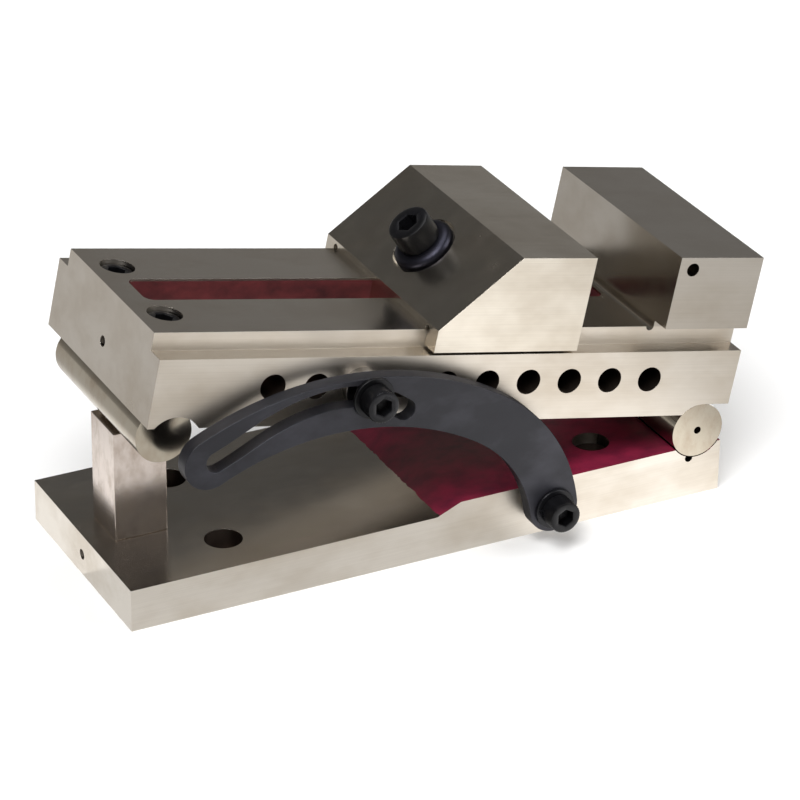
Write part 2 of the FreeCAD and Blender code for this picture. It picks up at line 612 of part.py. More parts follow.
# Movable jaw
jaw_floor = dim("bed_height") + dim("seat_gap")
jaw_blank = fuse("jaw_blank", [
    prism("jaw_wedge", (
        (heel, jaw_floor),
        (movable_face, jaw_floor),
        (movable_face, jaw_top),
        (slant_top_u, jaw_top),
        (heel, slant_foot),
    ), half_width),
    box("jaw_skirts", (heel, movable_face), (-half_width, half_width),
        (ledge_height + dim("skirt_gap"), jaw_floor)),
])
skirt_inner = rail_half + dim("skirt_play")
tongue_half = slot_half - dim("run_gap")
tongue_left = heel + dim("tongue_heel")
tongue_right = movable_face - dim("tongue_front")
tongue_low = dim("side_hole_height") - dim("keeper_gap")
jaw_with_rebate = cut("jaw_with_rebate", jaw_blank, [
    box("jaw_rebate", (heel - OVERRUN, movable_face + OVERRUN), (-skirt_inner, skirt_inner),
        (ledge_height, jaw_floor)),
])
jaw_solid = fuse("jaw_solid", [
    jaw_with_rebate,
    box("jaw_tongue", (tongue_left, tongue_right), (-tongue_half, tongue_half),
        (tongue_low, dim("bed_height") + OVERRUN)),
])


def along_screw(name, radius, low, high):
    """A cylinder on the jaw screw's axis, between two distances above the slanted face."""
    thing = doc.addObject("Part::Cylinder", name)
    low = as_size(low)
    bind(thing, "Radius", radius)
    bind(thing, "Height", as_size(high) - low)
    place(thing, screw_face_u - low * dim("slant_angle").sine(), 0,
          screw_face_w + low * dim("slant_angle").cosine(), Rotation(Vector(0, 1, 0), -10))
    bind(thing, "Placement.Rotation.Angle", -dim("slant_angle"))
    return thing


jaw_screw_radius = dim("large_shank")
seat_open = dim("large_head_height")
jaw_cuts = [
    along_screw("jaw_screw_bore", jaw_screw_radius + dim("jaw_bore_play"), -dim("jaw_screw_length"), OVERRUN),
    along_screw("jaw_screw_seat", dim("washer_radius") + dim("seat_play"), -dim("washer_recess"), seat_open),
]
for side, y in ((-1, -skirt_inner), (1, skirt_inner)):
    name = "skirt_relief_%d" % (side + 1)
    jaw_cuts.append(rod(name, dim("relief_radius"), movable_face - heel + 2 * OVERRUN,
                        (heel - OVERRUN, y, jaw_floor), "x"))
keeper_left = tongue_left + dim("keeper_play")
keeper_right = keeper_left + dim("keeper_length")
keeper_screw_places = (keeper_left + dim("keeper_length") / 4, keeper_right - dim("keeper_length") / 4)
for line, u in enumerate(keeper_screw_places):
    jaw_cuts.append(rod("keeper_thread_%d" % line, dim("small_shank") + dim("seat_gap"),
                        dim("keeper_thread_depth") + OVERRUN, (u, 0, tongue_low - OVERRUN)))
node(tilt(cut("movable_jaw", jaw_solid, jaw_cuts)))

# Keeper that holds the jaw down, and its screws
keeper_half = channel_half - dim("keeper_play")
keeper_low = tongue_low - dim("keeper_thick")
keeper_screws = []
keeper_cuts = []
for line, u in enumerate(keeper_screw_places):
    keeper_cuts.append(rod("keeper_bore_%d" % line, dim("small_shank") + dim("bore_play"),
                           dim("keeper_thick") + 2 * OVERRUN, (u, 0, keeper_low - OVERRUN)))
    keeper_screws.append(cap_screw("keeper_screw_%d" % line, "small", dim("keeper_screw_length"),
                                   (u, 0, keeper_low), Rotation(Vector(1, 0, 0), 180)))
keeper_plate = box("keeper_plate", (keeper_left, keeper_right), (-keeper_half, keeper_half),
                   (keeper_low, tongue_low))
node(tilt(cut("jaw_keeper", keeper_plate, keeper_cuts)))
node(tilt(group("jaw_keeper_screws", keeper_screws)))

# Jaw screw, its seat washer and the cross nut
washer_top = dim("washer_thick") - dim("washer_recess")
flat_part = dim("washer_thick") / 2
seat_disc = rod("seat_disc", dim("washer_radius"), flat_part, (0, 0, -dim("washer_recess")))
seat_dome = cone("seat_dome", dim("washer_radius"), dim("large_head") + dim("head_play"),
                 dim("washer_thick") - flat_part, (0, 0, flat_part - dim("washer_recess")))
seat_hole = rod("seat_hole", jaw_screw_radius + dim("run_gap"), dim("washer_thick") * 2,
                (0, 0, -dim("washer_thick")))
seat_solid = fuse("seat_solid", [seat_disc, seat_dome])
node(tilt(cut("jaw_seat_washer", seat_solid, [seat_hole]), screw_face_u, 0, screw_face_w,
          dim("slant_angle")))
jaw_screw_solid = cap_screw("jaw_screw_solid", "large", dim("jaw_screw_length"), (0, 0, washer_top))
node(tilt(group("jaw_screw", [jaw_screw_solid]), screw_face_u, 0, screw_face_w, dim("slant_angle")))
barrel_half = slot_half - dim("nut_end_gap")
trunnion_half = channel_half - dim("nut_end_gap")
nut_solid = fuse("nut_solid", [
    rod("nut_barrel", dim("nut_barrel_radius"), barrel_half * 2, (nut_u, -barrel_half, nut_w), "y"),
    rod("nut_trunnions", dim("nut_trunnion_radius"), trunnion_half * 2, (nut_u, -trunnion_half, nut_w), "y"),
])
node(tilt(cut("cross_nut", nut_solid, [
    along_screw("nut_thread", jaw_screw_radius + dim("run_gap"), -nut_reach - dim("nut_barrel_radius") * 2,
                dim("nut_barrel_radius") * 2 - nut_reach),
])))

# Clamp anchor in its cross hole, with the clamp screw and its washer
stand_off = dim("arm_stand_off")
anchor_sleeve = dim("side_hole_dia") / 2 - dim("seat_gap")
anchor_solid = fuse("anchor_solid", [
    rod("anchor_flange", dim("anchor_flange_radius"), stand_off,
        (clamp_u, -half_width - stand_off, clamp_w), "y"),
    rod("anchor_sleeve", anchor_sleeve, dim("anchor_length") + OVERRUN,
        (clamp_u, -half_width - OVERRUN, clamp_w), "y"),
])
clamp_radius = dim("medium_shank")
node(tilt(cut("clamp_anchor", anchor_solid, [
    rod("anchor_thread", clamp_radius + dim("run_gap"), dim("anchor_length") + stand_off + 2 * OVERRUN,
        (clamp_u, -half_width - stand_off - OVERRUN, clamp_w), "y"),
])))
arm_back = -half_width - stand_off - dim("arm_play")
arm_front = arm_back - dim("arm_thick")
washer_back = arm_front - dim("arm_play")
head_seat = washer_back - dim("arm_washer_thick")
clamp_x, clamp_z = to_frame(clamp_u, clamp_w)
node(washer("clamp_washer", dim("arm_washer_radius"), clamp_radius + dim("run_gap"),
            dim("arm_washer_thick"), (clamp_x, washer_back, clamp_z), "-y"))
node(cap_screw("clamp_screw", "medium", dim("clamp_screw_length"), (clamp_x, head_seat, clamp_z),
               AXIS_TURNS["-y"]))

# Pivot bush, washer and screw of the arm
pivot_x = hinge_x - dim("pivot_back")
pivot_z = dim("pivot_height")
bush_solid = fuse("bush_solid", [
    rod("bush_flange", dim("bush_flange_radius"), stand_off,
        (pivot_x, -half_width - stand_off, pivot_z), "y"),
    rod("bush_journal", dim("bush_journal_radius"), -washer_back - half_width,
        (pivot_x, washer_back, pivot_z), "y"),
])
node(cut("pivot_bush", bush_solid, [
    rod("bush_bore", clamp_radius + dim("seat_gap"), -washer_back - half_width + 2 * OVERRUN,
        (pivot_x, washer_back - OVERRUN, pivot_z), "y"),
]))
node(washer("pivot_washer", dim("arm_washer_radius"), clamp_radius + dim("seat_gap"),
            dim("arm_washer_thick"), (pivot_x, washer_back, pivot_z), "-y"))
node(cap_screw("pivot_screw", "medium", dim("pivot_screw_length"), (pivot_x, head_seat, pivot_z),
               AXIS_TURNS["-y"]))


# Locking arm. Its slot is the path that the clamp screw draws on the arm while the vise tilts
# and the arm turns arm_ratio times as far, so the screw stays in the slot at every angle.
def slot_point(angle):
    """Centre of the arm's slot under the clamp screw at one sine angle, with the arm at rest."""
    turn = math.radians(angle)
    x = hinge_x.value + clamp_u.value * math.cos(turn) + clamp_w.value * math.sin(turn)
    z = hinge_z.value - clamp_u.value * math.sin(turn) + clamp_w.value * math.cos(turn)
    swing = math.radians(dim("arm_ratio").value * (angle - sine_angle.value))
    across = x - pivot_x.value
    up = z - pivot_z.value
    return Vector(pivot_x.value + across * math.cos(swing) - up * math.sin(swing), 0,
                  pivot_z.value + across * math.sin(swing) + up * math.cos(swing))


def band(centre_edges, width):
    """The face swept by a disc along a smooth chain of edges, in the XZ plane."""
    half = width / 2
    left = []
    right = []
    for edge in centre_edges:
        low, high = edge.ParameterRange
        for step in range(SLOT_SAMPLES + 1):
            if left and step == 0:
                continue
            at = low + (high - low) * step / SLOT_SAMPLES
            along = edge.tangentAt(at)
            side = Vector(-along.z, 0, along.x)
            left.append(edge.valueAt(at) + side * half)
            right.append(edge.valueAt(at) - side * half)
    first = centre_edges[0]
    last = centre_edges[-1]
    start = first.valueAt(first.ParameterRange[0])
    finish = last.valueAt(last.ParameterRange[1])
    start_tip = start - first.tangentAt(first.ParameterRange[0]) * half
    finish_tip = finish + last.tangentAt(last.ParameterRange[1]) * half
    one_side = Part.BSplineCurve()
    one_side.interpolate(left)
    other_side = Part.BSplineCurve()
    other_side.interpolate(right)
    edges = [
        one_side.toShape(),
        Part.Arc(left[-1], finish_tip, right[-1]).toShape(),
        other_side.toShape(),
        Part.Arc(right[0], start_tip, left[0]).toShape(),
    ]
    return Part.Face(Part.Wire(Part.__sortEdges__(edges)))


path_angles = [dim("tilt_limit").value * step / SLOT_SAMPLES for step in range(SLOT_SAMPLES + 1)]
path_points = [slot_point(angle) for angle in path_angles]
low_end = path_points[0] + (path_points[0] - path_points[1]).normalize() * dim("arm_slot_spare").value
high_end = path_points[-1] + (path_points[-1] - path_points[-2]).normalize() * dim("arm_slot_reach").value
slot_curve = Part.BSplineCurve()
slot_curve.interpolate([low_end] + path_points + [high_end])
slot_edge = slot_curve.toShape()

lift = Vector(0, 0, dim("arm_lift").value)
pivot_point = Vector(pivot_x.value, 0, pivot_z.value)
tip_point = high_end + (high_end - path_points[-1]).normalize() * dim("arm_slot_wall").value + lift
shoulder_point = path_points[0] + lift
elbow_point = pivot_point + Vector(-dim("arm_elbow_back").value, 0, dim("arm_elbow_height").value)
long_arc = Part.Arc(tip_point, shoulder_point, elbow_point).toShape()
elbow_run = long_arc.tangentAt(long_arc.ParameterRange[1])
drop = pivot_point - elbow_point
inward = Vector(elbow_run.z, 0, -elbow_run.x)
if inward.dot(drop) < 0:
    inward = inward * -1
elbow_radius = drop.dot(drop) / (2 * drop.dot(inward))
elbow_centre = elbow_point + inward * elbow_radius
middle = (elbow_point - elbow_centre) + (pivot_point - elbow_centre)
elbow_middle = elbow_centre + middle.normalize() * elbow_radius
elbow_arc = Part.Arc(elbow_point, elbow_middle, pivot_point).toShape()

arm_blank = band([long_arc, elbow_arc], dim("arm_width").value)
slot_face = band([slot_edge], dim("arm_slot_width").value)
through = Vector(0, dim("arm_thick").value, 0)
eye = Part.makeCylinder(dim("bush_journal_radius").value + dim("run_gap").value,
                        dim("arm_thick").value, pivot_point, Vector(0, 1, 0))
arm_shape = arm_blank.extrude(through).cut([slot_face.extrude(through), eye])
locking_arm = doc.addObject("Part::Feature", "locking_arm")
locking_arm.Shape = arm_shape.Solids[0]
locking_arm.Placement = Placement(Vector(0, arm_front.value, 0), Rotation())
node(locking_arm)

doc.recompute()

faults = []
for thing in doc.Objects:
    if "Invalid" in thing.State or "Error" in thing.State:
        faults.append("%s is %s" % (thing.Name, thing.State))
for thing in NODES:
    if thing.Shape.isNull() or not thing.Shape.isValid() or not thing.Shape.Solids:
        faults.append("%s has no valid solid" % thing.Name)
if faults:
    raise RuntimeError("; ".join(faults))

for thing in NODES:
    thing.Shape.exportStep(os.path.join("parts", thing.Label + ".step"))
    box_of = thing.Shape.BoundBox
    print("%-22s solids %d  volume %9.1f  x %7.2f..%7.2f  y %7.2f..%7.2f  z %7.2f..%7.2f" % (
        thing.Label, len(thing.Shape.Solids), thing.Shape.Volume, box_of.XMin, box_of.XMax,
        box_of.YMin, box_of.YMax, box_of.ZMin, box_of.ZMax))
print("sine angle %.3f, clamp at %.2f %.2f, jaw screw face at %.2f %.2f, nut at %.2f %.2f" % (
    sine_angle.value, clamp_x.value, clamp_z.value, screw_face_u.value, screw_face_w.value,
    nut_u.value, nut_w.value))
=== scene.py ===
"""A sine vise on its setting block, in a plain pale studio.

Lengths in the size classes are millimetres in the row frame: X along the vise to the hinge, Y across
it to the rear and Z up. The places of moving pieces come from the frame's joints.
"""

import logging
import math
from dataclasses import dataclass, field
from enum import Enum
from typing import Callable, Optional, Sequence, Union

import bmesh
import bpy
from mathutils import Matrix, Vector
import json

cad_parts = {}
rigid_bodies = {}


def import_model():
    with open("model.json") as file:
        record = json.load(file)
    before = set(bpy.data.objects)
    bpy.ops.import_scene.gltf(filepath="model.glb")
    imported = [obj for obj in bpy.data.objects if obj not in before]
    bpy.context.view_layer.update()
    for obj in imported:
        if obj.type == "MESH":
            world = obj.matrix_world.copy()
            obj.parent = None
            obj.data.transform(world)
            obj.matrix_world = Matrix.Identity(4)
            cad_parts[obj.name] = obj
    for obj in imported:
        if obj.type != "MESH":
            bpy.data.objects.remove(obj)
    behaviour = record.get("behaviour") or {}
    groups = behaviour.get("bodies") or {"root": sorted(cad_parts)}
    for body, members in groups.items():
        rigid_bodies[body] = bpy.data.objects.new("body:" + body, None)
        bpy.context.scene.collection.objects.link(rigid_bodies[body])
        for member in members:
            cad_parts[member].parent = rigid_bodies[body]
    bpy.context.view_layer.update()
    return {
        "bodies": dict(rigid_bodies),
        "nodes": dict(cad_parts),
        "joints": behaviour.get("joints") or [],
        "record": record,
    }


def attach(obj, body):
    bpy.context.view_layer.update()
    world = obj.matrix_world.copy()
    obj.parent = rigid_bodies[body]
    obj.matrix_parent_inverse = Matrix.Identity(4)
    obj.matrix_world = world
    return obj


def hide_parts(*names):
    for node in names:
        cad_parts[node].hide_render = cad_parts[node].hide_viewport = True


logging.basicConfig(level=logging.INFO, format="%(message)s")
LOG = logging.getLogger("sine_vise")

MM = 0.001
HINGE_X = 90.0
HINGE_Z = 22.25
SINE_ANGLE = math.radians(11.546815)
SKIN = 0.4
HOLE_SKIN = 0.12
RIM = 0.2
HALF_WIDTH = 36.5
SLOT_HALF = 7.5
SLOT_LEFT = -180.4
SLOT_RIGHT = -23.0
PAINT_EDGE = 0.7
PAINT_START = 1.2
BRUSH_SIZE = 2.5
BRUSH_WANDER = 0.35
UPWARD = 0.75
HOLE_FIRST = -149.8
HOLE_PITCH = 14.2
HOLE_HEIGHT = 17.5
HOLE_RADIUS = 4.0
SINK_X = 61.9
SINK_Y = 20.3
SINK_RADIUS = 5.75
LOW_TOP = 13.5
BED_HEIGHT = 32.2
JAW_FACE = -21.0

Value = Union[float, Sequence[float], bpy.types.NodeSocket]
RingRadius = Callable[[float, float], float]


class Axis(Enum):
    """The way a ground surface's grinding lines run."""

    BASE = "along the base plate"
    BODY = "along the tilted vise body"


def rgb(code: str) -> tuple[float, float, float, float]:
    """Turns a display colour into the linear colour that shaders use.

    Args:
        code: the colour as six hexadecimal digits after a hash mark.

    Returns:
        Linear red, green, blue and alpha.
    """
    parts = [int(code[i:i + 2], 16) / 255 for i in (1, 3, 5)]
    linear = [c / 12.92 if c <= 0.04045 else ((c + 0.055) / 1.055) ** 2.4 for c in parts]
    return (*linear, 1.0)


class Graph:
    """A material's or world's node tree while it is being built."""

    def __init__(self, tree: bpy.types.NodeTree) -> None:
        self.tree = tree
        tree.nodes.clear()

    def add(self, kind: str, inputs: Optional[dict] = None, **settings) -> bpy.types.Node:
        """Adds a node, sets its properties and fills or links its inputs.

        Args:
            kind: the node type without its ShaderNode prefix.
            inputs: socket names or numbers with the constants or sockets they get.
            **settings: properties of the node.

        Returns:
            The new node.
        """
        node = self.tree.nodes.new("ShaderNode" + kind)
        for name, value in settings.items():
            setattr(node, name, value)
        for key, value in (inputs or {}).items():
            if isinstance(value, bpy.types.NodeSocket):
                self.tree.links.new(value, node.inputs[key])
            else:
                node.inputs[key].default_value = value
        return node

    def math(self, operation: str, first: Value, second: Value = 0.0) -> bpy.types.NodeSocket:
        """Adds one arithmetic step.

        Args:
            operation: the operation's name in the Math node.
            first: the first number or socket.
            second: the second number or socket.

        Returns:
            The result's socket.
        """
        return self.add("Math", {0: first, 1: second}, operation=operation).outputs[0]

    def product(self, *factors: Value) -> bpy.types.NodeSocket:
        """Multiplies any number of values, so that masks hold only where all of them do.

        Args:
            *factors: the numbers or sockets.

        Returns:
            The product's socket.
        """
        result = factors[0]
        for factor in factors[1:]:
            result = self.math("MULTIPLY", result, factor)
        return result

    def spread(self, first: Value, second: Value) -> bpy.types.NodeSocket:
        """Gives the length of a vector with two parts.

        Args:
            first: the first part.
            second: the second part.

        Returns:
            The length's socket.
        """
        squares = self.math("ADD", self.math("MULTIPLY", first, first), self.math("MULTIPLY", second, second))
        return self.math("SQRT", squares)

    def remap(self, value: Value, low: float, high: float, to_low: float, to_high: float,
              smooth: bool = False) -> bpy.types.NodeSocket:
        """Maps a range of values onto another, held at both ends.

        Args:
            value: what is mapped.
            low: the value that becomes to_low.
            high: the value that becomes to_high.
            to_low: the result at low.
            to_high: the result at high.
            smooth: whether the change eases in and out.

        Returns:
            The result's socket.
        """
        kind = "SMOOTHSTEP" if smooth else "LINEAR"
        node = self.add("MapRange", {"Value": value, "From Min": low, "From Max": high,
                                     "To Min": to_low, "To Max": to_high}, interpolation_type=kind)
        return node.outputs["Result"]

    def mix(self, share: Value, first: Value, second: Value) -> bpy.types.NodeSocket:
        """Mixes two colours.

        Args:
            share: how much of the second colour shows, from 0 to 1.
            first: the colour at 0.
            second: the colour at 1.

        Returns:
            The mixed colour's socket.
        """
        node = self.add("Mix", {0: share, 6: first, 7: second}, data_type="RGBA")
        return node.outputs[2]

    def split(self, vector: bpy.types.NodeSocket) -> bpy.types.NodeOutputs:
        """Splits a vector into its three parts.

        Args:
            vector: the vector's socket.

        Returns:
            The node's outputs X, Y and Z.
        """
        return self.add("SeparateXYZ", {0: vector}).outputs

    def noise(self, place: bpy.types.NodeSocket, size: Sequence[float], detail: float = 3.0,
              roughness: float = 0.55) -> bpy.types.NodeSocket:
        """Adds noise with a real size.

        Args:
            place: the place in metres.
            size: the length of a typical patch along X, Y and Z in millimetres.
            detail: how many finer layers are added.
            roughness: how strong the finer layers are.

        Returns:
            The noise's socket, about 0.5 on average.
        """
        scale = [1.0 / (length * MM) for length in size]
        mapped = self.add("Mapping", {"Vector": place, "Scale": scale}).outputs[0]
        node = self.add("TexNoise", {"Vector": mapped, "Scale": 1.0, "Detail": detail,
                                     "Roughness": roughness}, noise_dimensions="3D")
        return node.outputs["Fac"]

    def bump(self, height: bpy.types.NodeSocket, depth: float) -> bpy.types.NodeSocket:
        """Turns a height into a normal.

        Args:
            height: the height's socket.
            depth: the real height in millimetres of a height of 1.

        Returns:
            The normal's socket.
        """
        return self.add("Bump", {"Height": height, "Distance": depth * MM, "Strength": 1.0}).outputs["Normal"]


def body_place(graph: Graph) -> bpy.types.NodeSocket:
    """Gives the place in the vise body's own axes.

    Args:
        graph: the material's node tree.

    Returns:
        A socket with the distance along the body, across it and above the hinge axis, in metres.
    """
    cosine, sine = math.cos(SINE_ANGLE), math.sin(SINE_ANGLE)
    along = -(cosine * HINGE_X - sine * HINGE_Z) * MM
    above = -(sine * HINGE_X + cosine * HINGE_Z) * MM
    row_place = graph.add("TexCoord").outputs["Object"]
    return graph.add("Mapping", {"Vector": row_place, "Location": (along, 0.0, above),
                                 "Rotation": (0.0, -SINE_ANGLE, 0.0)}).outputs[0]


def new_material(name: str) -> tuple[bpy.types.Material, Graph]:
    """Starts a material with an empty node tree.

    Args:
        name: the material's name.

    Returns:
        The material and its graph.
    """
    material = bpy.data.materials.new(name)
    material.use_nodes = True
    return material, Graph(material.node_tree)


@dataclass(frozen=True)
class GroundSteel:
    """Hardened tool steel, surface ground to a dull mirror, with the paint of the recesses.

    Attributes:
        name: the material's name.
        axis: which axes the grinding lines follow.
        colour: the steel's own colour.
        roughness: the sheen of the cleanest ground faces.
        side_roughness: the sheen of the front and rear faces, which are ground with a coarser wheel.
        line_width: the width of a grinding line in millimetres.
        line_length: the length of a grinding line in millimetres.
        line_depth: the depth of a grinding line in millimetres.
        painted: whether the recesses carry red paint.
        paint: the paint's colour where it is thick.
        paint_dark: the paint's colour where it is thin and soiled.
        hole_shade: the painted shade on the walls of the holes, a dull brown.
        smudge_size: the size of the oil smudges along X, Y and Z in millimetres.
        cloud_size: the size of the finer clouds in the sheen, in millimetres.
        smudged: the steel's colour under a smudge.
        scratched: the steel's colour in the deepest grinding lines.
        jaw_shade: the colour of the painted shade on the fixed jaw.
        jaw_shade_share: how much of that painted shade the fixed jaw shows.
        patch_size: the size of the paint's thick and thin patches in millimetres.
        peel_size: the size of the paint's ripples in millimetres.
        peel_depth: the depth of the paint's ripples in millimetres.
        paint_roughness: the sheen of the paint.
    """

    name: str
    axis: Axis
    colour: str = "#dad4cb"
    roughness: float = 0.17
    side_roughness: float = 0.36
    line_width: float = 0.35
    line_length: float = 45.0
    line_depth: float = 0.0007
    painted: bool = True
    paint: str = "#8c2340"
    paint_dark: str = "#661a32"
    hole_shade: str = "#665a52"
    smudge_size: tuple[float, float, float] = (38.0, 26.0, 20.0)
    cloud_size: tuple[float, float, float] = (9.0, 7.0, 7.0)
    smudged: str = "#b9ad9c"
    scratched: str = "#8f877c"
    jaw_shade: str = "#7d7a76"
    jaw_shade_share: float = 0.34
    patch_size: tuple[float, float, float] = (7.0, 5.0, 5.0)
    peel_size: float = 1.1
    peel_depth: float = 0.02
    paint_roughness: float = 0.33

    def build(self) -> bpy.types.Material:
        """Makes the material.

        Returns:
            The finished material.
        """
        material, graph = new_material(self.name)
        if self.axis is Axis.BODY:
            place = body_place(graph)
        else:
            place = graph.add("TexCoord").outputs["Object"]
        lines = graph.noise(place, (self.line_length, self.line_width, self.line_width), 2.0)
        smudges = graph.noise(place, self.smudge_size, 4.0, 0.6)
        clouds = graph.noise(place, self.cloud_size, 3.0)
        warm = graph.mix(graph.remap(smudges, 0.42, 0.68, 0.0, 0.55), rgb(self.colour), rgb(self.smudged))
        streaked = graph.mix(graph.remap(lines, 0.3, 0.75, 0.0, 0.12), warm, rgb(self.scratched))
        spread = graph.remap(smudges, 0.35, 0.75, self.roughness, self.roughness + 0.09)
        sideways = graph.math("ABSOLUTE", graph.split(graph.add("TexCoord").outputs["Normal"])["Y"])
        side_extra = graph.remap(sideways, 0.6, 0.9, 0.0, self.side_roughness - self.roughness)
        rough = graph.math("ADD", graph.math("ADD", spread, side_extra), graph.remap(clouds, 0.4, 0.8, 0.0, 0.05))
        normal = graph.bump(lines, self.line_depth)
        # Painted shade darkens the fixed jaw above the bed.
        if self.axis is Axis.BODY and self.painted:
            streaked = self.painted_jaw_shade(graph, place, streaked)
        if self.painted:
            # Painted shade in the holes: the walls of the cross holes and counterbores are darkened to a dull
            # brown.
            hole_shade_mask = self.cross_hole_mask(graph, place) if self.axis is Axis.BODY else self.sink_mask(graph, place)
            streaked = graph.mix(hole_shade_mask, streaked, rgb(self.hole_shade))
            rough = graph.math("ADD", rough, graph.math("MULTIPLY", hole_shade_mask, 0.2))
        steel = graph.add("BsdfPrincipled", {"Base Color": streaked, "Metallic": 1.0, "Roughness": rough,
                                             "Normal": normal}).outputs[0]
        surface = self.painted_over(graph, place, steel) if self.painted else steel
        graph.add("OutputMaterial", {"Surface": surface})
        LOG.info("finish %s: ground tool steel, lines %.2f mm wide", self.name, self.line_width)
        return material

    def painted_jaw_shade(self, graph: Graph, place: bpy.types.NodeSocket,
                   steel: bpy.types.NodeSocket) -> bpy.types.NodeSocket:
        """Darkens the fixed jaw's faces above the bed with painted shade.

        Args:
            graph: the material's node tree.
            place: the place in metres in the vise body's axes.
            steel: the steel's colour.

        Returns:
            The colour with the painted shade on the jaw.
        """
        parts = graph.split(place)
        past_face = graph.math("GREATER_THAN", parts["X"], JAW_FACE * MM)
        above_bed = graph.math("GREATER_THAN", parts["Z"], BED_HEIGHT * MM)
        return graph.mix(graph.product(past_face, above_bed, self.jaw_shade_share), steel, rgb(self.jaw_shade))

    def painted_over(self, graph: Graph, place: bpy.types.NodeSocket,
                     steel: bpy.types.NodeSocket) -> bpy.types.NodeSocket:
        """Lays the red paint over the steel where the casting isn't ground.

        Args:
            graph: the material's node tree.
            place: the place in metres along the material's axes.
            steel: the steel's shader.

        Returns:
            The shader of steel and paint together.
        """
        mask = self.slot_mask(graph, place) if self.axis is Axis.BODY else self.high_part_mask(graph, place)
        patches = graph.noise(place, self.patch_size, 4.0, 0.6)
        peel = graph.noise(place, (self.peel_size,) * 3, 2.0)
        colour = graph.mix(graph.remap(patches, 0.35, 0.7, 0.0, 1.0), rgb(self.paint), rgb(self.paint_dark))
        normal = graph.bump(peel, self.peel_depth)
        paint = graph.add("BsdfPrincipled", {"Base Color": colour, "Roughness": self.paint_roughness,
                                             "Normal": normal}).outputs[0]
        return graph.add("MixShader", {0: mask, 1: steel, 2: paint}).outputs[0]

    @staticmethod
    def cross_hole_mask(graph: Graph, place: bpy.types.NodeSocket) -> bpy.types.NodeSocket:
        """Marks the walls of the row of cross holes.

        Args:
            graph: the material's node tree.
            place: the place in metres in the vise body's axes.

        Returns:
            A socket with 1 inside the holes and 0 elsewhere.
        """
        parts = graph.split(place)
        shifted = graph.math("SUBTRACT", parts["X"], (HOLE_FIRST - HOLE_PITCH / 2.0) * MM)
        folded = graph.math("FLOORED_MODULO", shifted, HOLE_PITCH * MM)
        along = graph.math("SUBTRACT", folded, HOLE_PITCH / 2.0 * MM)
        above = graph.math("SUBTRACT", parts["Z"], HOLE_HEIGHT * MM)
        in_hole = graph.math("LESS_THAN", graph.spread(along, above), (HOLE_RADIUS + HOLE_SKIN) * MM)
        under_skin = graph.math("LESS_THAN", graph.math("ABSOLUTE", parts["Y"]), (HALF_WIDTH - RIM) * MM)
        return graph.product(in_hole, under_skin)

    @staticmethod
    def sink_mask(graph: Graph, place: bpy.types.NodeSocket) -> bpy.types.NodeSocket:
        """Marks the walls of the base plate's four counterbored holes.

        Args:
            graph: the material's node tree.
            place: the place in metres in the row frame.

        Returns:
            A socket with 1 inside the holes and 0 elsewhere.
        """
        parts = graph.split(place)
        along = graph.math("SUBTRACT", graph.math("ABSOLUTE", parts["X"]), SINK_X * MM)
        across = graph.math("SUBTRACT", graph.math("ABSOLUTE", parts["Y"]), SINK_Y * MM)
        in_hole = graph.math("LESS_THAN", graph.spread(along, across), (SINK_RADIUS + HOLE_SKIN) * MM)
        under_skin = graph.math("LESS_THAN", parts["Z"], (LOW_TOP - RIM) * MM)
        return graph.product(in_hole, under_skin)

    @staticmethod
    def high_part_mask(graph: Graph, place: bpy.types.NodeSocket) -> bpy.types.NodeSocket:
        """Marks the high part of the base plate and its ramp.

        Args:
            graph: the material's node tree.
            place: the place in metres in the row frame.

        Returns:
            A socket with 1 on paint and 0 on steel.
        """
        ragged = graph.noise(place, (BRUSH_SIZE,) * 3, 3.0)
        edge = graph.remap(ragged, 0.3, 0.7, -BRUSH_WANDER * MM, BRUSH_WANDER * MM)
        x = graph.math("ADD", graph.split(place)["X"], edge)
        past_ramp = graph.math("GREATER_THAN", x, PAINT_START * MM)
        up = graph.split(graph.add("TexCoord").outputs["Normal"])["Z"]
        facing_up = graph.math("GREATER_THAN", up, UPWARD)
        high = graph.math("GREATER_THAN", graph.split(place)["Z"], (LOW_TOP + RIM) * MM)
        return graph.product(past_ramp, facing_up, high)

    @staticmethod
    def slot_mask(graph: Graph, place: bpy.types.NodeSocket) -> bpy.types.NodeSocket:
        """Marks the inside of the bed's slot.

        Args:
            graph: the material's node tree.
            place: the place in metres in the vise body's axes.

        Returns:
            A socket with 1 on paint and 0 on steel.
        """
        parts = graph.split(place)
        near_middle = graph.math("LESS_THAN", graph.math("ABSOLUTE", parts["Y"]), (SLOT_HALF + SKIN) * MM)
        below_bed = graph.math("LESS_THAN", parts["Z"], (BED_HEIGHT - PAINT_EDGE) * MM)
        inside_left = graph.math("GREATER_THAN", parts["X"], SLOT_LEFT * MM)
        inside_right = graph.math("LESS_THAN", parts["X"], SLOT_RIGHT * MM)
        return graph.product(near_middle, below_bed, inside_left, inside_right)


